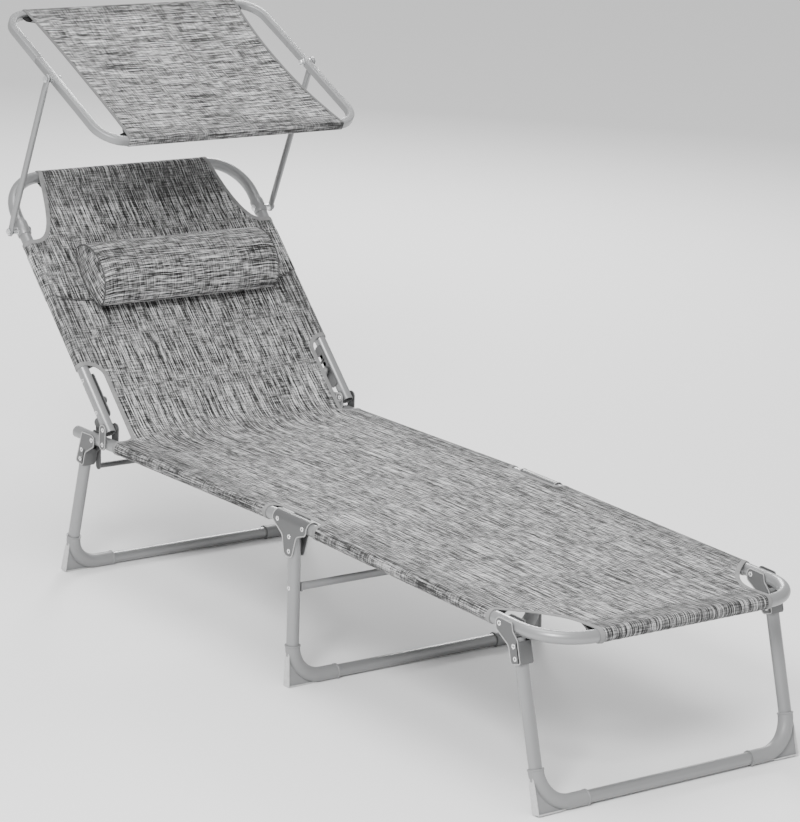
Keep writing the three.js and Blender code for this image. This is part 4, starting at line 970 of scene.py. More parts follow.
def foot_web(sign, offset, drop):
    """The plate that fills the outside of the bend out to a corner, just inside the flanges."""
    half, reach, cut = WEB_HALF, FOOT_CORNER - 0.4, 1.5
    centre_x = RAIL - LEG_BEND
    centre_z = LEG_BEND - drop
    radius = LEG_BEND + 4
    arc = []
    for k in range(13):
        turn = -pi / 2 * k / 12
        arc.append((centre_x + radius * cos(turn), centre_z + radius * sin(turn)))
    outside = RAIL + reach
    bottom = -drop - reach
    outline = [(outside, centre_z)] + arc
    outline += [(centre_x, bottom), (outside - cut, bottom), (outside, bottom + cut)]
    rings = []
    for y, by in ((-half, 0.6), (-half + 0.6, 0), (half - 0.6, 0), (half, 0.6)):
        rings.append([Vector((sign * a, offset + y, b)) for a, b in inset(outline, by)])
    return loft(rings)


def foot_rims(sign, offset, drop):
    """Flanges along the two straight outer edges of a foot's corner, meeting in its point."""
    centre_x = RAIL - LEG_BEND
    outside = RAIL + FOOT_CORNER
    bottom = -drop - FOOT_CORNER
    top = LEG_BEND - drop - 3
    line = [
        (outside - 1.2, top, FLANGE_HALF * 0.35),
        (outside, top - 22, FLANGE_HALF * 0.8),
        (outside, bottom + 1.5, FLANGE_HALF),
        (outside - 1.5, bottom, FLANGE_HALF),
        (centre_x + 24, bottom, FLANGE_HALF * 0.8),
        (centre_x + 3, bottom + 1.2, FLANGE_HALF * 0.35),
    ]
    rings = []
    for i, (x, z, wide) in enumerate(line):
        ahead = line[min(i + 1, len(line) - 1)]
        behind = line[max(i - 1, 0)]
        way = Vector((ahead[0] - behind[0], ahead[1] - behind[1])).normalized()
        inward = Vector((way.y, -way.x))
        if inward.dot(Vector((centre_x - x, LEG_BEND - drop - z))) < 0:
            inward = -inward
        ring = []
        for depth, y in ((0, -wide), (0, wide), (FLANGE_WALL, wide), (FLANGE_WALL, -wide)):
            ring.append(Vector((sign * (x + inward.x * depth), offset + y, z + inward.y * depth)))
        rings.append(ring)
    return loft(rings)


def feet(word, place, offset, drop, body):
    """Both feet of a leg frame: the sleeve, the corner's plate and the flanges along its edges."""
    for side, sign in SIDES:
        sleeve = foot_sleeve(sign, offset, drop)
        web = foot_web(sign, offset, drop)
        foot = make(f"{word}_foot_shoe_{side}", merged([sleeve, web]), place, FOOT_PLASTIC, 40)
        fasten(flat_on_floor(foot), body, f"{word}_foot_{side}")
        flanges = foot_rims(sign, offset, drop)
        rim = make(f"{word}_foot_rim_{side}", flanges, place, FOOT_PLASTIC, rim=all_rim)
        fasten(soften(flat_on_floor(rim)), body)


BRACE_DROP = 91.0
BRACE_THICK_HALF = 3.6
BRACE_TALL_HALF = 7.2
BRACE_LUG_HALF = 8
MIDDLE_LEG_TOP = 11


def middle_legs():
    """The legs under the saddles, with the flattened brace riveted between them."""
    body = "middle_legs"
    drop = leg_frame("middle_leg_tubes", MIDDLE_PLANE, 0, MIDDLE_LEG_TOP, body, "middle_leg_frame")
    feet("middle", MIDDLE_PLANE, 0, drop, body)
    near = INNER_EAR - 0.2
    narrowing = [(near, 0.45, 1.1), (near - 9, 0.6, 1.08), (near - 22, 1, 1)]
    rings = []
    for x, thin, tall in [(-x, thin, tall) for x, thin, tall in narrowing] + narrowing[::-1]:
        ring = []
        for a, b in circle(1.0):
            flat_a = abs(a) ** 0.8 * (1 if a > 0 else -1)
            height = BRACE_TALL_HALF * tall * b - BRACE_DROP
            ring.append(Vector((x, BRACE_THICK_HALF * thin * flat_a, height)))
        rings.append(ring)
    pieces = [loft(rings)]
    square = [(a * BRACE_LUG_HALF, b * BRACE_LUG_HALF) for a, b in ((-1, -1), (1, -1), (1, 1), (-1, 1))]
    outline = rounded([(y, z - BRACE_DROP, 3) for y, z in square])
    for _, sign in SIDES:
        pieces.append(stamped(outline, sign, INNER_FACE, INNER_EAR, False, LOW_BEAD))
        rivet_head(body, MIDDLE_PLANE, sign * (RAIL + TUBE), 0, -BRACE_DROP, SMALL_RIVET)
        rivet_head(body, MIDDLE_PLANE, sign * INNER_FACE, 0, -BRACE_DROP, SMALL_RIVET, inward=True)
    brace = make("middle_brace_bar", merged(pieces), MIDDLE_PLANE, FRAME_COAT)
    fasten(brace, body, "middle_brace")


BRACKET_NOSE = 11.0
BRACKET_TOP_REACH = 32.0
BRACKET_TOP_RISE = 10.0
BRACKET_LIP = 12


def bracket_outline(offset, top, drops, rail_turn):
    """An ear of a leg bracket: a nose about its pivot, a top edge along the rail, a body down the leg."""
    side = 1 if offset > 0 else -1
    foot = -drops[1] - 10
    web_side = TUBE + GAP + PLATE
    far = side * (abs(offset) + (BRACKET_LIP if side > 0 else web_side))
    near = side * (abs(offset) - (web_side if side > 0 else BRACKET_LIP))
    nose = BRACKET_NOSE
    along = Vector((cos(rail_turn), sin(rail_turn))) * side
    rise = Vector((-sin(rail_turn), cos(rail_turn)))
    back_top = rise * nose - along * nose
    back_low = -along * nose + Vector((0, -nose - 1))
    front_top = along * BRACKET_TOP_REACH + rise * BRACKET_TOP_RISE
    points = [(*back_top, nose - 0.5), (*front_top, 3)]
    if side < 0:
        points += [(far + 8.5, top + 11, 9), (far, top - 4, 7)]
    points += [(far, foot, 5), (near, foot, 7), (near, top - 12, 14), (*back_low, nose - 2)]
    return rounded(points, 7)


def bracket_web(offset, top, drops):
    """The web behind the tube that joins a bracket's ears, as points for the side at +X."""
    web_top, web_foot = top - 6, -drops[1] - 9.6
    back = offset - TUBE - GAP
    lip = back + 4
    wide, slim, wall = OUTER_FACE, INNER_FACE, PLATE - 0.1
    loop = [(slim, back - PLATE, 3.2), (wide, back - PLATE, 3.2), (wide, lip, 0.4)]
    loop += [(wide - wall, lip, 0.4), (wide - wall, back, 1.2), (slim + wall, back, 1.2)]
    loop += [(slim + wall, lip, 0.4), (slim, lip, 0.4)]
    ring = rounded(loop, 4)
    heights = ((web_foot, 0.35), (web_foot + 0.5, 0), (web_top - 0.5, 0), (web_top, 0.35))
    return [[(a, b, z) for a, b in inset(ring, by)] for z, by in heights]


def leg_brackets(word, place, offset, top, drops, body, rail_turn):
    """Two ears and the web between them, with rims painted light as a highlight, and the rivets through
    them.
    """
    outline = bracket_outline(offset, top, drops, rail_turn)
    web = bracket_web(offset, top, drops)
    for side, sign in SIDES:
        pieces = [
            stamped(outline, sign, INNER_FACE, INNER_EAR, False),
            stamped(outline, sign, OUTER_EAR, OUTER_FACE),
            loft([[Vector((sign * x, y, z)) for x, y, z in ring] for ring in web]),
        ]

        def rim(point, sign=sign):
            reach = sign * point.x
            return 1.0 if reach > OUTER_FACE + RIM_START or reach < INNER_FACE - RIM_START else 0.0

        bracket = make(f"{word}_leg_bracket_{side}", merged(pieces), place, BRACKET_COAT, rim=rim)
        fasten(bracket, body, f"{word}_bracket_{side}")
        rivet_pair(body, place, sign, 0, 0, PIVOT_RIVET)
        for drop in drops:
            rivet_pair(body, place, sign, offset, -drop)


def end_legs(word, place, offset, top, drops, rail_lean, leg_lean):
    """The front or the rear legs, set beside their pivot by an offset, with two rivets at drops."""
    body = f"{word}_legs"
    drop = leg_frame(f"{word}_leg_tubes", place, offset, top, body, f"{word}_leg_frame")
    feet(word, place, offset, drop, body)
    leg_brackets(word, place, offset, top, drops, body, radians(rail_lean - leg_lean))


# Foot section, backrest, racks and stay
def foot_frame():
    """One bent tube, closed by a half ball at each end."""
    run = bent_line(u_bend(RAIL, (0, 0), (-FOOT_LENGTH, 0), FOOT_BEND), 18)
    stations = [(*station, 1.0) for station in run]
    stations = round_end(run, TUBE, True) + stations + round_end(run, TUBE, False)
    rings = [ring_at(point, way, UP, circle(TUBE, 28), scale) for point, way, scale in stations]
    tube = make("foot_section_tube", loft(rings), FOOT, FRAME_COAT)
    fasten(tube, "foot_section", "foot_frame")


BACK_TUBE_TIP = 8.6


def backrest_tubes():
    """The two straight lower tubes, hollow at both ends."""
    bore = TUBE - WALL
    end = SPLICE - 0.5
    profile = [(bore, 20 - BACK_TUBE_TIP), (bore, -BACK_TUBE_TIP), (TUBE - 0.3, -BACK_TUBE_TIP)]
    profile += [(TUBE, RAIL_EDGE - BACK_TUBE_TIP), (TUBE, end), (bore, end)]
    for word, sign in SIDES:
        x = sign * RAIL
        rings = []
        for radius, along in profile:
            rings.append([Vector((x + a, along, b)) for a, b in circle(radius, RAIL_COUNT)])
        tube = make(f"backrest_side_tube_{word}", loft(rings, ring_rows=True), BACK, FRAME_COAT)
        fasten(tube, "backrest", f"backrest_tube_{word}")


def backrest_bow():
    """The top bow, whose ends are swelled to slip over the side tubes."""
    mouth = SPLICE - 26
    cuff = SPLICE - 1
    shoulder = SPLICE + 9
    swelled = TUBE + 2.1

    def radius_at(point):
        if point.y <= cuff:
            return swelled
        if point.y >= shoulder:
            return TUBE
        share = (shoulder - point.y) / (shoulder - cuff)
        return TUBE + (swelled - TUBE) * share * share * (3 - 2 * share)

    def leg(sign):
        places = [mouth, mouth + 1.2, cuff, cuff + 2.5, cuff + 5, cuff + 7.5]
        return [Vector((sign * RAIL, place, 0)) for place in places]

    stations = [(at, ALONG) for at in leg(-1)]
    stations += bent_line(u_bend(RAIL, (shoulder, 0), (BACK_LENGTH, 0), BOW_BEND), 18)
    stations += [(at, -ALONG) for at in leg(1)[::-1]]
    outlines = []
    for point, _ in stations:
        wide = radius_at(point)
        if abs(point.y - mouth) < 0.1:
            wide -= 0.5
        outlines.append((circle(wide, 28), circle(wide - WALL, 28)))
    bow = make("backrest_top_bow", hollow(stations, UP, outlines), BACK, FRAME_COAT)
    fasten(bow, "backrest", "backrest_bow")


RACK_NOTCHES = (61.0, 76.5, 92.0)
RACK_RIVETS = (37.0, 106.0)


def rack_outline():
    """A plate with slots that open downwards, each ending in a round seat for the stay's pin."""
    low, high, floor = -12.0, 9.0, -2.0
    points = [(26, high, 6), (26, low, 6)]
    for place in RACK_NOTCHES:
        points += [(place - 5.2, low, 2.6), (place - 4.4, floor - 4.2, 0.8)]
        points += [(place - 4.3, floor + 4.2, 4.2), (place + 4.3, floor + 4.2, 4.2)]
        points += [(place + 4.4, floor - 4.2, 0.8), (place + 5.2, low, 2.6)]
    points += [(116, low, 6), (116, high, 6)]
    return rounded(points, 5)


def racks():
    """The notched plates beside the backrest's tubes, which the stay's pins rest in."""
    outline = rack_outline()
    for word, sign in SIDES:
        shape = stamped(outline, sign, INNER_FACE, INNER_EAR, False, LOW_BEAD)
        rack = make(f"rack_plate_{word}", shape, BACK, BRACKET_COAT, rim=rim_of(sign, INNER_FACE, -1))
        fasten(rack, "backrest", f"rack_{word}")
        for place in RACK_RIVETS:
            rivet_head("backrest", BACK, sign * (RAIL + TUBE), place, 0, SMALL_RIVET)


PIN_REACH = 49.3
PIN_ANGLE = radians(108.3)
CROSSBAR = (-6.0, -81.0)
STAY_WALL = 3
STAY_HALF = 7
STAY_BEAD = 0.3
PIN = 4


def stay():
    """Two bent arms with the pins that lie in the racks' notches, and the round bar between them."""
    pin_end = INNER_FACE - GAP
    far = pin_end - PLATE - GAP
    near = far - STAY_WALL
    pin = (PIN_REACH * cos(PIN_ANGLE), PIN_REACH * sin(PIN_ANGLE))
    profile = [(0, near - 2.6), (5.4, near - 2.6), (6.5, near - 1.6), (6.5, near - 0.1)]
    profile += [(PIN, near), (PIN, pin_end), (0, pin_end)]
    for word, sign in SIDES:
        arms = [
            stamped(strap((0, 0), pin, STAY_HALF), sign, near, far, False, STAY_BEAD),
            stamped(strap(CROSSBAR, (0, 0), STAY_HALF), sign, near + LAP, far - LAP, False, STAY_BEAD),
            turned(profile, 0, *pin, "X", 20, sign),
        ]
        arm = make(f"stay_side_arm_{word}", merged(arms), STAY, STAY_COAT, rim=rim_of(sign, near, -1))
        fasten(arm, "stay", f"stay_arm_{word}")
    half = [(0, far), (3, far), (3, near), (5, near - 0.5)]
    bar = [(radius, -along) for radius, along in half] + half[::-1]
    crossbar = make("stay_cross_rod", turned(bar, 0, *CROSSBAR), STAY, STAY_COAT)
    fasten(crossbar, "stay", "stay_crossbar")


# Canopy: arms, squarish ring, bolts
ARM_PLANE = 297.0
RING = 283.0
RING_HALF = 7.2
RING_FRONT = 198.5
RING_REAR = 201.0
RING_BEND = 50.0
RING_SPLICE = 60.0


ARM_ROD = 5.8
ARM_FLAT = 3.4
ARM_EYE = 7.4
ARM_EYE_REACH = 9.0


def canopy_arms():
    """Round rods, flattened at both ends where the bolts go through."""
    reach = ARM_EYE_REACH
    eye = [(-reach, 0.35), (-reach + 1.6, 0.75), (-reach + 4, 1), (reach, 1)]
    profile = [(y, ARM_FLAT, ARM_EYE * share) for y, share in eye] + [(reach + 14, ARM_ROD, ARM_ROD)]
    profile += [(ARM_LENGTH - y, thick, tall) for y, thick, tall in profile[::-1]]
    for word, sign in SIDES:
        x = sign * ARM_PLANE
        rings = []
        for y, thick, tall in profile:
            rings.append([Vector((x + thick * a, y, tall * b)) for a, b in circle(1.0)])
        arm = make(f"canopy_side_arm_{word}", loft(rings), ARMS, FRAME_COAT)
        fasten(arm, "canopy_arms", f"canopy_arm_{word}")


def squarish(half, edge, count=5):
    """A square outline with round edges."""
    points = []
    flat = half - edge
    for quarter in range(4):
        turn = quarter * pi / 2 + pi / 4
        centre_a = flat * sqrt(2) * cos(turn)
        centre_b = flat * sqrt(2) * sin(turn)
        for k in range(count):
            angle = quarter * pi / 2 + k * pi / 2 / (count - 1)
            points.append((centre_a + edge * cos(angle), centre_b + edge * sin(angle)))
    return points


def canopy_ring():
    """Both halves of the square tube, each drawn in a little at its open ends."""
    outside = squarish(RING_HALF, 2.4)
    inside = squarish(RING_HALF - WALL, 2.0)
    halves = (("front", RING_SPLICE - 0.1, -RING_FRONT), ("rear", RING_SPLICE + 0.3, RING_REAR))
    for word, start, bar in halves:
        stations = bent_line(u_bend(RING, (start, 0), (bar, 0), RING_BEND), 16)
        last = len(stations) - 1
        outer, inner = [], []
        for i, (point, direction) in enumerate(stations):
            tip = 0.94 if i in (0, last) else 1.0
            outer.append(ring_at(point, direction, UP, outside, tip))
            inner.append(ring_at(point, direction, UP, inside, tip))
            if i in (0, last - 1):
                step = direction * (0.6 if i == 0 else 0)
                outer.append(ring_at(point + step, direction, UP, outside))
                inner.append(ring_at(point + step, direction, UP, inside))
        half = make(f"canopy_hoop_{word}", loft(outer + inner[::-1], ring_rows=True), CANOPY, FRAME_COAT)
        fasten(half, "canopy", f"canopy_ring_{word}")


def hexagon(radius):
    """A six-sided outline with two points along each side."""
    points = []
    for k in range(18):
        turn = 2 * pi * k / 18
        within = (turn % (pi / 3)) - pi / 6
        reach = radius * cos(pi / 6) / cos(within)
        points.append((reach * cos(turn), reach * sin(turn)))
    return points


def bolt_shape(sign, x, y, z, head):
    """A washer, a hexagon head and its low dome, facing away from the middle."""
    profile = [(0, 0), (head + 1.2, 0), (head + 1.2, 1), (head, 1.2), (0, 1.2)]
    washer = turned(profile, x, y, z, "X", 24, sign)
    rings = []
    for along, scale in ((1.2, 1.0), (3.2, 1.0), (3.9, 0.84), (4.0, 0.2)):
        rings.append([Vector((x + sign * along, y + a * scale, z + b * scale)) for a, b in hexagon(head)])
    return merged([washer, loft(rings)])


BOLT_HEAD = 5.2
BOLT_SHANK = 3
WASHER_RADIUS = 6.4


def canopy_bolts():
    """The bolts that carry the arms, with their collars, and those that hang the ring between them."""
    far = ARM_PLANE + 3.6
    tube_side = RAIL + TUBE
    arm_side = ARM_PLANE - ARM_FLAT
    inside = RING - RING_HALF
    collar = [(0, tube_side), (6.8, tube_side), (6.8, tube_side + 2), (5.6, tube_side + 2.4)]
    collar += [(5.6, arm_side - 1), (6.6, arm_side - 0.6), (6.6, arm_side), (0, arm_side)]
    low_nut = [(0, 0), (WASHER_RADIUS, 0), (WASHER_RADIUS, 1.4), (4.6, 2.4), (0, 2.8)]
    domed_nut = [(0, 0), (6.6, 0), (6.6, 1), (5.6, 1.2), (5.8, 4.6), (5.0, 6.6), (3.2, 8.0), (0, 8.4)]
    shank = [(0, 0), (BOLT_SHANK, 0), (BOLT_SHANK, far - inside), (0, far - inside)]
    spacer = [(0, 0), (WASHER_RADIUS, 0), (WASHER_RADIUS, 2.6), (0, 2.6)]
    for word, sign in SIDES:
        shapes = [
            turned(collar, 0, BOLT, 0, "X", 24, sign),
            bolt_shape(sign, sign * far, BOLT, 0, BOLT_HEAD),
            turned(low_nut, sign * (RAIL - TUBE - 2), BOLT, 0, "X", 20, -sign),
        ]
        bolt = make(f"canopy_arm_bolt_{word}", merged(shapes), BACK, BRIGHT_STEEL)
        fasten(bolt, "backrest", f"arm_bolt_{word}")
        shapes = [
            turned(domed_nut, sign * inside, 0, 0, "X", 24, -sign),
            bolt_shape(sign, sign * far, 0, 0, BOLT_HEAD),
            turned(shank, sign * inside, 0, 0, "X", 16, sign),
            turned(spacer, sign * (RING + RING_HALF + 0.2), 0, 0, "X", 20, sign),
        ]
        bolt = make(f"canopy_hoop_bolt_{word}", merged(shapes), CANOPY, BRIGHT_STEEL)
        fasten(bolt, "canopy", f"ring_bolt_{word}")


# Sling: rows of cloth across the lounger. A row gives a point in metres for each x and tells where the
# cloth ends (edge), whether it wraps the tubes (sleeved) and how much of it is doubled (hem).
def sling_height(x, sag=1.0):
    """Height of the stretched cloth over the plane of the tubes' axes."""
    return SLEEVE - SAG * sag * (1 - (x / RAIL) ** 2)


class Row:
    def __init__(self, place, along, edge, sag=1.0, sleeved=False, hem=0.0, drop=0.0):
        self.place = place
        self.along = along
        self.edge = edge
        self.sag = sag
        self.sleeved = sleeved
        self.hem = hem
        self.drop = drop

    def at(self, x):
        return self.place @ Vector((x, self.along, sling_height(x, self.sag) - self.drop))

    def around(self, sign, turn):
        """A point where the sleeve goes round a side tube."""
        reach = RAIL + SLEEVE * cos(turn)
        return self.place @ Vector((sign * reach, self.along, SLEEVE * sin(turn)))

    def seam(self, sign, x, drop):
        """A point of the sleeve's end, sewn under the cloth."""
        return self.place @ Vector((sign * x, self.along, sling_height(x, self.sag) - drop))


class BarRow(Row):
    """A row on the cloth that wraps a cross bar, at an angle about the bar."""

    def __init__(self, place, along, edge, turn, pucker=0.0):
        super().__init__(place, along, edge, hem=1.0)
        self.turn = turn
        self.pucker = pucker

    def at(self, x):
        ripple = self.pucker * sin(2 * pi * x / 13.0 + 3 * noise.noise(Vector((x / 31.0, 0, 0))))
        reach = SLEEVE + ripple
        y = self.along + reach * cos(self.turn)
        return self.place @ Vector((x, y, reach * sin(self.turn)))


FOLD = radians(BACK_LEAN - SEAT_LEAN)
MEETING = HINGE - HINGE_RISE / tan(FOLD)
PAST_MEETING = HINGE_RISE / sin(FOLD)
BEND_BEFORE = 60.0
BEND_AFTER = 62.0


class BendRow(Row):
    """A row in the corner between seat and backrest, rounder in the middle than at the edges."""

    def __init__(self, q, edge, sleeved=False, hem=0.0):
        super().__init__(SEAT, MEETING + q, edge, sleeved=sleeved, hem=hem)
        self.share = (q + BEND_BEFORE) / (BEND_BEFORE + BEND_AFTER)

    def at(self, x):
        ease = min(1.0, max(0.0, (262 - abs(x)) / 85))
        radius = 20 + 100 * ease * ease * (3 - 2 * ease)
        reach = radius * tan(FOLD / 2)
        length = BEND_BEFORE + BEND_AFTER - 2 * reach + radius * FOLD
        gone = self.share * length
        height = sling_height(x)
        before = BEND_BEFORE - reach
        if gone < before:
            y, z, lean = MEETING - BEND_BEFORE + gone, 0.0, 0.0
        elif gone < before + radius * FOLD:
            lean = (gone - before) / radius
            y = MEETING - reach + radius * sin(lean)
            z = radius * (1 - cos(lean))
        else:
            rest = gone - before - radius * FOLD + reach
            lean = FOLD
            y = MEETING + rest * cos(FOLD)
            z = rest * sin(FOLD)
        return SEAT @ Vector((x, y - height * sin(lean), z + height * cos(lean)))


def quarter(share):
    """A quarter round: 1 at share 0, where it leaves square, and 0 from share 1 on."""
    share = min(1.0, max(0.0, share))
    return 1 - sqrt(max(0.0, 1 - (1 - share) ** 2))


def spaced(start, end, step):
    count = max(1, round(abs(end - start) / step))
    return [start + (end - start) * k / count for k in range(count + 1)]


ROUNDING = (0, 0.02, 0.06, 0.13, 0.22, 0.34, 0.48, 0.64, 0.82, 1)
WING_TURNS = [radians(90 - 15 * k) for k in range(1, 15)]
SIDE_HEM = 232.0


def columns_for():
    """Shares of the half width, in even steps and closer together near both edges."""
    half = [0.0]
    while half[-1] < 0.84:
        half.append(half[-1] + 0.04)
    half[-1] = 0.855
    half += [0.863, 0.9, 0.94, 0.975, 1.0]
    return [-share for share in half[:0:-1]] + half


COLUMNS = columns_for()

# The sleeve's end under the cloth: its places, and the lengths of cloth from the tube to them
SLEEVE_ARC = SLEEVE * radians(225)
UNDER_TUBE = (250, 9.5)
SEAM_LAP = 31
UNDER_CLOTH = ((*UNDER_TUBE, 12), (240, 3.2, 23), (SIDE_HEM, 1.1, SEAM_LAP))


def mapped_mesh(name, points, faces, uvs, hems=None):
    """A mesh of cloth with a UV map in metres and, where it has hems, an attribute for them."""
    mesh = bpy.data.meshes.new(name)
    mesh.from_pydata(points, [], faces)
    layer = mesh.uv_layers.new(name="UVMap")
    for loop in mesh.loops:
        layer.data[loop.index].uv = uvs[loop.vertex_index]
    if hems is not None:
        mesh.attributes.new("hem", "FLOAT", "POINT").data.foreach_set("value", hems)
    return mesh


def cloth_piece(name, rows, start_length):
    """The mid surface of a piece of sling with its side sleeves, as a mesh with a UV map in metres."""
    points, faces, uvs, hems = [], [], [], []
    lengths = [start_length]
    for before, after in zip(rows, rows[1:]):
        lengths.append(lengths[-1] + (after.at(150.0) - before.at(150.0)).length)
    for row, length in zip(rows, lengths):
        for share in COLUMNS:
            x = share * row.edge
            points.append(row.at(x))
            uvs.append((x * MM, length))
            side = row.sleeved and abs(x) > SIDE_HEM - 0.5
            hems.append(max(row.hem, 1.0 if side else 0.0))
    faces += grid_faces(len(rows), len(COLUMNS))
    stations = list(zip(rows, lengths))
    for sign in (-1, 1):
        for pair in zip(stations, stations[1:]):
            if not all(row.sleeved for row, _ in pair):
                continue
            base = len(points)
            for row, length in pair:
                line = sleeve_line(row, sign)
                points += [point for point, _ in line]
                uvs += [(sign * u * MM, length) for _, u in line]
                hems += [1.0] * len(line)
            for face in grid_faces(2, len(line)):
                quad = tuple(base + i for i in face)
                faces.append(quad if sign > 0 else quad[::-1])
    mesh = mapped_mesh(name, points, faces, uvs, hems)
    welded(mesh, CLOTH_WELD, closed=False)
    return finished_cloth(name, mesh), lengths[-1]


def sleeve_line(row, sign):
    """Points of a row round its side tube and back to the seam, with the cloth's length to each."""
    line = [(row.at(sign * RAIL), RAIL)]
    for turn in WING_TURNS:
        line.append((row.around(sign, turn), RAIL + SLEEVE * (pi / 2 - turn)))
    for x, drop, past in UNDER_CLOTH:
        line.append((row.seam(sign, x, drop), RAIL + SLEEVE_ARC + past))
    return line


def finished_cloth(name, mesh):
    """Cloth with its thickness below the modelled surface."""
    cloth = linked(name, mesh)
    mesh.materials.append(SLING_CLOTH)
    mesh.shade_smooth()
    wall = cloth.modifiers.new("cloth thickness", "SOLIDIFY")
    wall.thickness = CLOTH * MM
    wall.offset = -1
    wall.use_rim = True
    return cloth


def area_of(piece):
    """Area of a sheet's surface, without its thickness."""
    return sum(polygon.area for polygon in piece.data.polygons)


def edge_line(rows, sign, first, last):
    """Points and surface normals along the cut edge of the cloth, from one row to another."""
    line = []
    step = 1 if last > first else -1
    for j in range(first, last + step, step):
        row = rows[j]
        x = sign * row.edge
        before = rows[max(j - 1, 0)].at(x)
        after = rows[min(j + 1, len(rows) - 1)].at(x)
        outward = (row.at(x + 1) - row.at(x - 1)).normalized()
        normal = outward.cross((after - before).normalized()).normalized()
        line.append((row.at(x), normal))
    return line


def sleeve_mouth(row, sign):
    """Points and normals round a sleeve's open end, from the seam below to the top of the tube."""
    below = -(row.at(SIDE_HEM + 1) - row.at(SIDE_HEM - 1)).cross(row.place.to_3x3() @ ALONG).normalized()
    line = []
    for x, drop in ((SIDE_HEM, 1.3), (240, 3.4), UNDER_TUBE):
        line.append((row.seam(sign, x, drop), below))
    centre = row.place @ Vector((sign * RAIL, row.along, 0))
    for turn in WING_TURNS[::-1]:
        point = row.around(sign, turn)
        line.append((point, (point - centre).normalized()))
    return line


TAPE_WIDTH = 7.5
TAPE_RISE = 0.55
TAPE_CLEAR = 0.02


def binding(name, line, inward_at_middle, width=TAPE_WIDTH):
    """A folded tape over a cut edge: a C-shaped section along the line."""
    cleaned = [line[0]]
    for point, normal in line[1:]:
        if (point - cleaned[-1][0]).length > 0.4 * MM:
            cleaned.append((point, normal))
    count = len(cleaned)
    frames = []
    for i, (point, normal) in enumerate(cleaned):
        ahead = cleaned[min(i + 1, count - 1)][0] - cleaned[max(i - 1, 0)][0]
        inward = normal.cross(ahead.normalized()).normalized()
        frames.append((point, inward, normal))
    middle = frames[count // 2]
    sense = 1 if middle[1].dot(inward_at_middle) > 0 else -1
    rise, under, lip, below = TAPE_RISE, -CLOTH - TAPE_RISE, 0.9, -CLOTH - TAPE_CLEAR
    fold = [(width, rise), (0.4, rise), (-lip * 0.7, rise * 0.3), (-lip, -CLOTH / 2)]
    fold += [(-lip * 0.7, under + 0.3), (0.4, under), (width, under), (width, below)]
    fold += [(0, below), (0, TAPE_CLEAR), (width, TAPE_CLEAR)]
    rings = []
    for point, inward, normal in frames:
        rings.append([point + (inward * sense * a + normal * b) * MM for a, b in fold])
    return make(name, loft(rings), Matrix.Identity(4), BINDING, 50)


# Half widths of the cloth at the bars and between the cut-outs, and where the cut-outs begin
FOOT_INSIDE = 184
HEAD_INSIDE = 194
SADDLE_INSIDE = 256.0
HINGE_INSIDE = 238.0
FOOT_CUT = 146
HEAD_CUT = 407.0
SADDLE_MOUTH = -27
SEAT_MOUTH = 38
BACK_MOUTH = 131.0
HINGE_CUT = 26
SEAT_CLOTH_END = 270


def foot_edge(distance):
    """Half width of the cloth at a distance from the front bar, where the frame bends."""
    share = min(1.0, max(0.0, (FOOT_CUT - distance) / 110))
    return RAIL - (RAIL - FOOT_INSIDE) * (1 - (1 - share) ** 2)


def head_edge(along):
    """Half width of the cloth along the backrest, where the bow bends."""
    share = min(1.0, max(0.0, (along - HEAD_CUT) / (BACK_LENGTH - HEAD_CUT)))
    return RAIL - (RAIL - HEAD_INSIDE) * share ** 0.31


def sag_near_bar(distance, span):
    """Share of the sag at a distance from a cross bar, full from a span on."""
    near = min(1.0, distance / span)
    return near * (2 - near)


def under_bar(share):
    """How far the cloth's sewn end lies below its upper side, from just under it to the bar's underside."""
    return 1.2 + (2 * SLEEVE - 3) * share


FOOT_SAG_SPAN = 120
FOOT_HEM = 42
HEM_HALF_STEP = 0.5


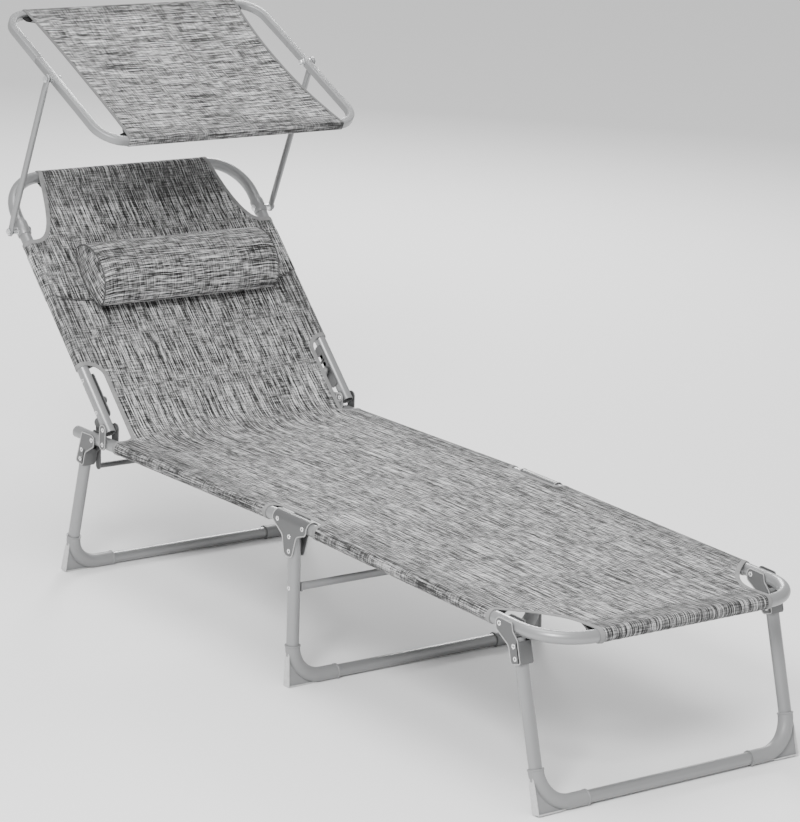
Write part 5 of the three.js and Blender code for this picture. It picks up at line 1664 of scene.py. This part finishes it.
def foot_sling():
    """From the seam behind the front bar, round the bar, to the middle of the saddles."""
    bar = -FOOT_LENGTH
    slim = FOOT_INSIDE - 2
    rows = []
    for reach, share in ((FOOT_HEM, 0.0), (30, 0.25), (18, 0.75)):
        sag = sag_near_bar(reach, FOOT_SAG_SPAN) * (1 - share)
        rows.append(Row(FOOT, bar + reach, slim, sag, hem=1.0, drop=under_bar(share)))
    for k in range(0, 13):
        turn = radians(285 - 15 * k - 15 * (k / 12))
        rows.append(BarRow(FOOT, bar, slim + 2 * k / 12, turn, 0.28))
    for distance in spaced(6, FOOT_CUT, 6.5):
        sag = sag_near_bar(distance, FOOT_SAG_SPAN)
        if abs(distance - FOOT_HEM) < 4:
            before, after = FOOT_HEM - HEM_HALF_STEP, FOOT_HEM + HEM_HALF_STEP
            rows.append(Row(FOOT, bar + before, foot_edge(before), sag, hem=1.0))
            rows.append(Row(FOOT, bar + after, foot_edge(after), sag))
        else:
            hem = 1.0 if distance < FOOT_HEM else 0.0
            rows.append(Row(FOOT, bar + distance, foot_edge(distance), sag, hem=hem))
    front_mouth = len(rows) - 1
    rows[front_mouth].sleeved = True
    for along in spaced(bar + FOOT_CUT, SADDLE_MOUTH, 13)[1:]:
        rows.append(Row(FOOT, along, RAIL, sleeved=True))
    rear_mouth = len(rows) - 1
    depth = RAIL - SADDLE_INSIDE
    for share in ROUNDING[1:]:
        rows.append(Row(FOOT, SADDLE_MOUTH + 15 * share, SADDLE_INSIDE + depth * quarter(share)))
    rows.append(Row(FOOT, -4, SADDLE_INSIDE))
    for along in spaced(-SADDLE_SPAN + 4, -SADDLE_SPAN / 2, 8):
        rows.append(Row(MIDDLE, along, SADDLE_INSIDE))
    cloth, length = cloth_piece("foot_sling_cloth", rows, 0.0)
    extras = []
    for word, sign in SIDES:
        inward = Vector((-sign, 0, 0))
        line = sleeve_mouth(rows[front_mouth], sign) + edge_line(rows, sign, front_mouth, 3)
        extras.append(binding(f"foot_corner_binding_{word}", line, inward))
        line = sleeve_mouth(rows[rear_mouth], sign) + edge_line(rows, sign, rear_mouth, len(rows) - 1)
        extras.append(binding(f"foot_saddle_binding_{word}", line, inward))
    lines = side_stitches(rows, front_mouth, rear_mouth)
    hem_row = [row for row in rows if abs(row.along - bar - FOOT_HEM + HEM_HALF_STEP) < 0.1][-1]
    lines.append([hem_row.at(x) for x in spaced(-178, 178, 6)])
    extras.append(stitch_rows("foot_sling_stitches", lines))
    return cloth, length, extras


def side_stitches(rows, first, last):
    """Two lines of stitches along each side sleeve, from one row to another."""
    lines = []
    for sign in (-1, 1):
        for x in (SIDE_HEM - 0.5, SIDE_HEM + 5.5):
            lines.append([row.at(sign * x) for row in rows[first:last + 1]])
    return lines


def seat_sling(start_length):
    """From the middle of the saddles along the seat rails."""
    rows = []
    for along in spaced(-SADDLE_SPAN / 2, -4, 8):
        rows.append(Row(MIDDLE, along, SADDLE_INSIDE))
    for along in spaced(4, 22, 6):
        rows.append(Row(SEAT, along, SADDLE_INSIDE))
    depth = RAIL - SADDLE_INSIDE
    for share in ROUNDING[::-1]:
        rows.append(Row(SEAT, SEAT_MOUTH - 15 * share, SADDLE_INSIDE + depth * quarter(share)))
    rows[-1].sleeved = True
    mouth = len(rows) - 1
    for along in spaced(SEAT_MOUTH, SEAT_CLOTH_END, 13)[1:]:
        rows.append(Row(SEAT, along, RAIL, sleeved=True))
    cloth, length = cloth_piece("seat_sling_cloth", rows, start_length)
    extras = []
    for word, sign in SIDES:
        line = sleeve_mouth(rows[mouth], sign) + edge_line(rows, sign, mouth, 0)
        extras.append(binding(f"seat_saddle_binding_{word}", line, Vector((-sign, 0, 0))))
    extras.append(stitch_rows("seat_sling_stitches", side_stitches(rows, mouth, len(rows) - 1)))
    return cloth, length, extras


HEAD_SAG_SPAN = 90
HEAD_HEM = 475.0
HINGE_MOUTH = -5.5


def backrest_sling(start_length):
    """From the end of the seat part, through the corner, past the hinge and up round the top bow."""
    rows = []
    for along in spaced(SEAT_CLOTH_END, MEETING - BEND_BEFORE, 13)[:-1]:
        rows.append(Row(SEAT, along, RAIL, sleeved=True))
    depth = RAIL - HINGE_INSIDE
    for q in spaced(-BEND_BEFORE, HINGE_MOUTH, 5):
        rows.append(BendRow(q, RAIL, sleeved=True))
    first_mouth = len(rows) - 1
    for share in ROUNDING[1:]:
        rows.append(BendRow(HINGE_MOUTH + 16 * share, HINGE_INSIDE + depth * quarter(share)))
    for q in spaced(HINGE_MOUTH + 16, BEND_AFTER, 5)[1:]:
        rows.append(BendRow(q, HINGE_INSIDE))
    for along in spaced(BEND_AFTER - PAST_MEETING, BACK_MOUTH - HINGE_CUT, 12)[1:]:
        rows.append(Row(BACK, along, HINGE_INSIDE))
    for share in ROUNDING[:-1][::-1]:
        rows.append(Row(BACK, BACK_MOUTH - HINGE_CUT * share, HINGE_INSIDE + depth * quarter(share)))
    rows[-1].sleeved = True
    second_mouth = len(rows) - 1
    for along in spaced(BACK_MOUTH, HEAD_CUT, 13)[1:]:
        rows.append(Row(BACK, along, RAIL, sleeved=True))
    third_mouth = len(rows) - 1
    places = [HEAD_CUT + step for step in (0.3, 1, 2.2, 4, 7, 11, 17, 25, 35, 46, 57)]
    places += [HEAD_HEM - HEM_HALF_STEP, HEAD_HEM + HEM_HALF_STEP]
    places += spaced(HEAD_HEM + 8, BACK_LENGTH - 6, 8)
    for along in places:
        sag = sag_near_bar(BACK_LENGTH - along, HEAD_SAG_SPAN)
        hem = 1.0 if along > HEAD_HEM else 0.0
        rows.append(Row(BACK, along, head_edge(along), sag, hem=hem))
    for k in range(0, 12):
        turn = radians(90 - 16.5 * k)
        rows.append(BarRow(BACK, BACK_LENGTH, HEAD_INSIDE - 1 - 3 * k / 11, turn, 0.15))
    last_wrap = len(rows) - 1
    for reach, share in ((18, 0.7), (34, 0.25), (54, 0.06), (74, 0.0)):
        sag = sag_near_bar(reach, HEAD_SAG_SPAN) * (1 - share)
        wide = HEAD_INSIDE - 4 + reach / 12
        rows.append(Row(BACK, BACK_LENGTH - reach, wide, sag, hem=1.0, drop=under_bar(share)))
    cloth, length = cloth_piece("backrest_sling_cloth", rows, start_length)
    extras = []
    for word, sign in SIDES:
        inward = Vector((-sign, 0, 0))
        line = sleeve_mouth(rows[first_mouth], sign) + edge_line(rows, sign, first_mouth, second_mouth)
        line += sleeve_mouth(rows[second_mouth], sign)[::-1]
        extras.append(binding(f"hinge_binding_{word}", line, inward))
        line = sleeve_mouth(rows[third_mouth], sign) + edge_line(rows, sign, third_mouth, last_wrap)
        extras.append(binding(f"head_corner_binding_{word}", line, inward))
    lines = side_stitches(rows, 0, first_mouth) + side_stitches(rows, second_mouth, third_mouth)
    hem_row = [row for row in rows if abs(row.along - HEAD_HEM + HEM_HALF_STEP) < 0.1][0]
    lines.append([hem_row.at(x) for x in spaced(-204, 204, 6)])
    extras.append(stitch_rows("backrest_sling_stitches", lines))
    return cloth, length, extras


def stretched_sheet(cloth, width, run, extras):
    """Works out the smaller of a piece's surface area and its flat size, and passes nothing on."""
    area = min(area_of(cloth), width * run)
    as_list(extras)


def blended(pieces):
    """Bakes each piece's placement into its points."""
    for piece in pieces:
        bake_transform(piece)


def sling():
    """The three parts of the sling, in place of the solid sling parts."""
    foot, length, foot_extras = foot_sling()
    seat, length, seat_extras = seat_sling(length)
    back, length, back_extras = backrest_sling(length)
    blended([foot] + foot_extras)
    blended([seat] + seat_extras)
    blended([back] + back_extras)
    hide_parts("foot_sling")
    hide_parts("seat_sling", "middle_sling")
    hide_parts("backrest_sling")
    width = 2 * (RAIL + SLEEVE_ARC + SEAM_LAP) * MM
    for piece, extras in ((foot, foot_extras), (seat, seat_extras), (back, back_extras)):
        places = [vertex.uv.y for vertex in piece.data.uv_layers["UVMap"].data]
        run = max(places) - min(places)
        stretched_sheet(piece, width, run, extras)


# Where on the roll of cloth each piece is cut, in metres, so that no two show the same yarns
CLOTH_START = 4.0
CANOPY_CUT = 7.0
BAND_CUT = 11.0
BOLSTER_CUT = 21.0
BOLSTER_END_CUT = 27.0

# Canopy cloth: sleeves round both end bars, sides drawn in, a shallow sag
CANOPY_HALF = 238.0
CANOPY_DRAW = 14.0
CANOPY_SAG = 12.0
CANOPY_SLEEVE = RING_HALF + 1.4
CANOPY_FOLD = 4.4
CANOPY_COLUMNS = 36
CANOPY_HEM = 24


def canopy_bar_rows(bar, way):
    """Places (y, z) from the seam below a bar, round its outside, to its top."""
    flat = CANOPY_SLEEVE - CANOPY_FOLD
    line = [(bar - way * 30, CANOPY_SLEEVE - 5.0), (bar - way * 20, -1.0), (bar - way * 12, -6.5)]
    for turn in range(-100, 91, 14):
        angle = radians(turn)
        centre_y = bar + way * flat * (1 if cos(angle) > 0 else -1)
        centre_z = flat * (1 if sin(angle) > 0 else -1)
        line.append((centre_y + way * CANOPY_FOLD * cos(angle), centre_z + CANOPY_FOLD * sin(angle)))
    return line


def canopy_cloth():
    """The cloth between the two bars, sagging and a little rippled, with hems, stitches and webbing."""
    front = canopy_bar_rows(-RING_FRONT, -1)
    rear = canopy_bar_rows(RING_REAR, 1)[::-1]
    middle = (RING_REAR - RING_FRONT) / 2
    half_run = (RING_REAR + RING_FRONT) / 2
    between = [(y, None) for y in spaced(-RING_FRONT + 8, RING_REAR - 8, 9)]
    line = front + between + rear
    points, uvs, hems = [], [], []
    shares = [-1 + 2 * k / CANOPY_COLUMNS for k in range(CANOPY_COLUMNS + 1)]
    length = CLOTH_START
    previous = None
    for y, z in line:
        along = max(-1.0, min(1.0, (y - middle) / half_run))
        wide = CANOPY_HALF - CANOPY_DRAW * (1 - along * along) ** 0.8
        open_sag = CANOPY_SAG * (1 - along * along)
        here = Vector((0, y, CANOPY_SLEEVE - open_sag if z is None else z))
        if previous is not None:
            length += (here - previous).length * MM
        previous = here
        for share in shares:
            x = share * wide
            belly = 1 - 0.35 * share * share
            rise = here.z
            if z is None:
                ripple = 0.7 * noise.noise(Vector((x / 60, y / 90, 4)))
                rise = CANOPY_SLEEVE - open_sag * belly + ripple * min(1.0, (1 - abs(along)) * 6)
            points.append(CANOPY @ Vector((x, y, rise)))
            uvs.append((length, x * MM + CANOPY_CUT))
            hems.append(1.0 if z is not None or abs(y - middle) > half_run - CANOPY_HEM else 0.0)
    faces = grid_faces(len(line), len(shares))
    mesh = mapped_mesh("canopy_sun_cloth", points, faces, uvs, hems)
    cloth = finished_cloth("canopy_sun_cloth", mesh)
    extras = []
    count = len(shares)
    for word, sign in SIDES:
        edge = []
        for j in range(len(front) - 2, len(line) - len(rear) + 2):
            near = [points[i * count:(i + 1) * count][::-sign] for i in (j - 1, j, j + 1)]
            before, here, after = near
            normal = (here[0] - here[1]).cross(after[0] - before[0]).normalized()
            edge.append((here[0], normal if normal.z > 0 else -normal))
        extras.append(binding(f"canopy_edge_hem_{word}", edge, Vector((-sign, 0, 0)), 5.0))
        extras[-1].data.materials[0] = SLING_CLOTH
    lines = []
    for j in (len(front) + 1, len(line) - len(rear) - 2):
        lines.append(points[j * count + 1:(j + 1) * count - 1])
    extras.append(stitch_rows("canopy_stitches", lines, DARK_THREAD))
    fasten(canopy_webbing(), "canopy")
    fasten(cloth, "canopy", "canopy_cloth")
    for extra in extras:
        fasten(extra, "canopy")
    stretched_sheet(cloth, 2 * CANOPY_HALF * MM, length - CLOTH_START, extras)


def canopy_webbing():
    """The four webbing patches on the canopy's corners."""
    patches = []
    for sign in (-1, 1):
        for bar, way in ((-RING_FRONT, 1), (RING_REAR, -1)):
            y = bar + way * 7
            outline = rounded([(218, y, 2), (245, y, 2), (243, y + way * 13, 2), (218, y + way * 22, 2)], 3)
            patches.append(loft([[Vector((sign * a, b, z)) for a, b in outline] for z in (-1.0, 1.5)]))
    return make("canopy_corner_webbing", merged(patches), CANOPY, BLACK_WEB)


# Pillow: the band round the backrest and the stuffed bolster on it
BAND_START = 286.0
BAND_END = 380.0
BAND = 13.3
BOLSTER_HALF = 197.0
BOLSTER_LOW = 238.0
BOLSTER_HIGH = 370.0
BOLSTER_SEAM = 34.0
BOLSTER_BACK = BAND + GAP + 0.4
BOLSTER_CROWN = 84.0
BAND_DROP = 20
BAND_ROWS = 12
BAND_EASE = 4
WELT = 1.0


def band_low(x):
    """Lower edge of the band: it drops towards the bolster's lower corners."""
    share = min(1.0, max(0.0, (RAIL + 6 - abs(x)) / 76))
    return BAND_START - BAND_DROP * share * (2 - share)


def band_line():
    """Places (x, z) round both side tubes, and the cloth's length to each, from the middle of the front."""
    line = [(x, BAND, x) for x in spaced(-RAIL, RAIL, 15)]
    arc = [radians(90 - 12 * k) for k in range(1, 15)]
    line += [(RAIL + BAND * cos(turn), BAND * sin(turn), RAIL + BAND * (pi / 2 - turn)) for turn in arc]
    length = line[-1][2] + BAND_EASE
    line += [(x, -BAND, length + RAIL - x) for x in spaced(RAIL, -RAIL, 30)]
    length += 2 * RAIL
    for turn in arc[::-1]:
        line.append((-RAIL - BAND * cos(turn), BAND * sin(turn), length + BAND * (radians(78) - turn)))
    return line


def pillow_band():
    """The band, the stitches along both its edges and the welt along the lower one."""
    line = band_line()
    front = spaced(-RAIL, RAIL, 15)
    points, uvs = [], []
    for j in range(BAND_ROWS + 1):
        for x, z, u in line:
            low = band_low(x) if z > 0 else BAND_START
            s = low + (BAND_END - low) * j / BAND_ROWS
            ripple = 0.35 * noise.noise(Vector((x / 40, s / 25, z / 30)))
            points.append(BACK @ Vector((x, s, z + (ripple if z > 0 else 0))))
            uvs.append((u * MM + BAND_CUT, s * MM))
    faces = grid_faces(BAND_ROWS + 1, len(line), ring_columns=True)
    band = finished_cloth("pillow_strap", mapped_mesh("pillow_strap", points, faces, uvs))
    fasten(band, "pillow", "pillow_band")
    lines = []
    for place in (0.03, 0.97):
        row = []
        for x in front:
            low = band_low(x)
            row.append(BACK @ Vector((x, low + (BAND_END - low) * place, BAND + 0.15)))
        lines.append(row)
    stitches = stitch_rows("pillow_strap_stitches", lines, DARK_THREAD, 3.6)
    fasten(stitches, "pillow")
    edge = [Vector((x, band_low(x), BAND + 0.2)) for x in front]
    welt = make("pillow_strap_edge", cord_along(edge, WELT, ALONG), BACK, DARK_WELT, 60)
    fasten(welt, "pillow")
    around = 4 * RAIL * MM + 2 * pi * BAND * MM
    run = (BAND_END - BAND_START + BAND_DROP) * MM
    stretched_sheet(band, around, run, [stitches])


def bolster_section(turn, swell):
    """One point of the bolster's section, pinched where its two faces meet."""
    front = sin(turn) > 0
    depth = (BOLSTER_CROWN - BOLSTER_SEAM) if front else (BOLSTER_SEAM - BOLSTER_BACK)
    half = (BOLSTER_HIGH - BOLSTER_LOW) / 2
    y = (BOLSTER_LOW + BOLSTER_HIGH) / 2 + half * swell * cos(turn)
    pinch = abs(sin(turn)) ** 1.1
    z = BOLSTER_SEAM + (1 if front else -1) * depth * (swell if front else 1) * pinch
    return y, z


BOLSTER_AROUND = 72
END_SWELL = 0.955
END_TAPER = 0.045
END_RINGS = 5
END_PUFF = 4.6
PIPING = 1.5
PIPING_SWELL = 0.962


def bolster():
    """The stuffed tube with its creases, its two puffed ends and the piping between them."""
    around = BOLSTER_AROUND
    stations = [-1, -0.985, -0.96, -0.92, -0.86] + spaced(-0.8, 0.8, 0.1) + [0.86, 0.92, 0.96, 0.985, 1]
    points, uvs = [], []
    for share in stations:
        end = 1 - abs(share)
        swell = END_SWELL + END_TAPER * sqrt(max(0.0, 1 - (1 - min(1.0, end / 0.2)) ** 2))
        x = BOLSTER_HALF * share
        length = 0.0
        previous = None
        for k in range(around + 1):
            turn = 2 * pi * k / around
            y, z = bolster_section(turn, swell)
            if sin(turn) > 0.15:
                dent = 1.6 * noise.noise(Vector((x / 70, y / 45, 2)))
                crease = 1.1 * noise.noise(Vector((x / 14, y / 60, 9))) * max(0.0, 1 - end / 0.14)
                z += dent + crease
            if previous is not None:
                length += sqrt((y - previous[0]) ** 2 + (z - previous[1]) ** 2)
            previous = (y, z)
            points.append(BACK @ Vector((x, y, z)))
            uvs.append((length * MM + BOLSTER_CUT, x * MM))
    faces = [face[::-1] for face in grid_faces(len(stations), around + 1)]
    middle_y = (BOLSTER_LOW + BOLSTER_HIGH) / 2
    middle_z = (BOLSTER_SEAM + BOLSTER_CROWN) / 2 - 8
    for sign in (-1, 1):
        base = len(points)
        for ring in range(END_RINGS + 1):
            inner = ring / END_RINGS
            x = BOLSTER_HALF * sign + sign * END_PUFF * sqrt(max(0.0, 1 - (1 - inner) ** 2))
            for k in range(around + 1):
                y, z = bolster_section(2 * pi * k / around, END_SWELL)
                y = y + (middle_y - y) * inner
                z = z + (middle_z - z) * inner
                points.append(BACK @ Vector((x, y, z)))
                uvs.append((z * MM + BOLSTER_END_CUT, y * MM))
        for face in grid_faces(END_RINGS + 1, around + 1):
            quad = tuple(base + i for i in face)
            faces.append(quad if sign > 0 else quad[::-1])
    mesh = mapped_mesh("bolster_pillow", points, faces, uvs)
    welded(mesh, CLOTH_WELD)
    pillow = finished("bolster_pillow", mesh, SLING_CLOTH, 55)
    fasten(pillow, "pillow", "pillow_bolster")
    beads = []
    for share in (-1, 1):
        line = []
        for k in range(around + 1):
            y, z = bolster_section(2 * pi * k / around, PIPING_SWELL)
            line.append(Vector((BOLSTER_HALF * share, y, z)))
        beads.append(cord_along(line, PIPING, ACROSS, 10))
    piping = make("bolster_piping", merged(beads), BACK, DARK_WELT, 60)
    fasten(piping, "pillow")


# Build it all
seat_rails()
hinge_plates()
saddles()
middle_legs()
end_legs("front", FRONT, -28, -25, (38, 58), FOOT_LEAN, FRONT_LEAN)
end_legs("rear", REAR, 26, -20, (31, 49.5), SEAT_LEAN, REAR_LEAN)
foot_frame()
backrest_tubes()
backrest_bow()
racks()
stay()
canopy_arms()
canopy_ring()
canopy_bolts()
sling()
canopy_cloth()
pillow_band()
bolster()

# Solids of the pivots that the rivet heads of a body stand in for
PIVOT_NODES = {
    "seat_section": ["hinge_pivot_{}", "stay_pivot_{}"],
    "middle_legs": ["seat_rail_pivot_{}", "foot_rail_pivot_{}"],
    "front_legs": ["front_leg_pivot_{}"],
    "rear_legs": ["rear_leg_pivot_{}"],
}
for body_name, heads in rivet_heads.items():
    nodes = [name.format(word) for name in PIVOT_NODES.get(body_name, []) for word, _ in SIDES]
    fasten(grow_rivets(body_name, heads), body_name, *nodes)


# Floor, light and camera
FLOOR_HALF = 14.0


def pale_floor():
    """The floor that the picture is taken on."""
    mesh = bpy.data.meshes.new("studio_floor")
    corners = [(a * FLOOR_HALF, b * FLOOR_HALF, 0) for a, b in ((-1, -1), (1, -1), (1, 1), (-1, 1))]
    mesh.from_pydata(corners, [], [(0, 1, 2, 3)])
    paint, _, shader = material("pale studio floor", 0.9, 0.0, 0.1)
    shader.inputs["Base Color"].default_value = (0.93, 0.93, 0.93, 1)
    mesh.materials.append(paint)
    linked("studio_floor", mesh)


def soft_light(name, place, aim, size, power):
    data = bpy.data.lights.new(name, "AREA")
    data.shape = "DISK"
    data.size = size
    data.energy = power
    lamp = linked(name, data)
    lamp.location = place
    lamp.rotation_euler = (Vector(aim) - Vector(place)).to_track_quat("-Z", "Y").to_euler()


def studio():
    """White surroundings and three soft lights."""
    world = bpy.data.worlds.new("studio air")
    world.use_nodes = True
    air = world.node_tree.nodes["Background"]
    air.inputs[0].default_value = (1, 1, 1, 1)
    air.inputs[1].default_value = 0.86
    bpy.context.scene.world = world
    soft_light("overhead", (-0.5, 0.2, 4.4), (0, 0, 0.3), 2.6, 110)
    soft_light("key", (-2.9, -2.5, 3.2), (0, 0.1, 0.4), 1.4, 230)
    soft_light("rim", (2.6, 3.2, 2.4), (0, 0.2, 0.5), 1.2, 110)


CAMERA_AZIMUTH = radians(-38.42)
CAMERA_HEIGHT_ANGLE = radians(16.02)
CAMERA_ROLL = radians(3.6)
CAMERA_PLACE = Vector((-3.6451, -4.6489, 2.0257))
CAMERA_LENS = 156.28
SENSOR_WIDTH = 36
PICTURE_WIDTH = 800
PICTURE_HEIGHT = 822
VIEW_CENTRE = (390.1, 459.7)


def camera():
    """The view of the photograph, found from the tubes, the feet and the pivots in it."""
    back = Vector((
        sin(CAMERA_AZIMUTH) * cos(CAMERA_HEIGHT_ANGLE),
        -cos(CAMERA_AZIMUTH) * cos(CAMERA_HEIGHT_ANGLE),
        sin(CAMERA_HEIGHT_ANGLE),
    ))
    right = Vector((cos(CAMERA_AZIMUTH), sin(CAMERA_AZIMUTH), 0))
    up = back.cross(right)
    turned_right = right * cos(CAMERA_ROLL) + up * sin(CAMERA_ROLL)
    turned_up = up * cos(CAMERA_ROLL) - right * sin(CAMERA_ROLL)
    data = bpy.data.cameras.new("photograph_view")
    data.sensor_fit = "HORIZONTAL"
    data.sensor_width = SENSOR_WIDTH
    data.lens = CAMERA_LENS
    data.shift_x = (PICTURE_WIDTH / 2 - VIEW_CENTRE[0]) / PICTURE_WIDTH
    data.shift_y = (VIEW_CENTRE[1] - PICTURE_HEIGHT / 2) / PICTURE_WIDTH
    view = linked("photograph_view", data)
    turn = Matrix((turned_right, turned_up, back)).transposed()
    view.matrix_world = Matrix.Translation(CAMERA_PLACE) @ turn.to_4x4()
    bpy.context.scene.camera = view


pale_floor()
studio()
camera()
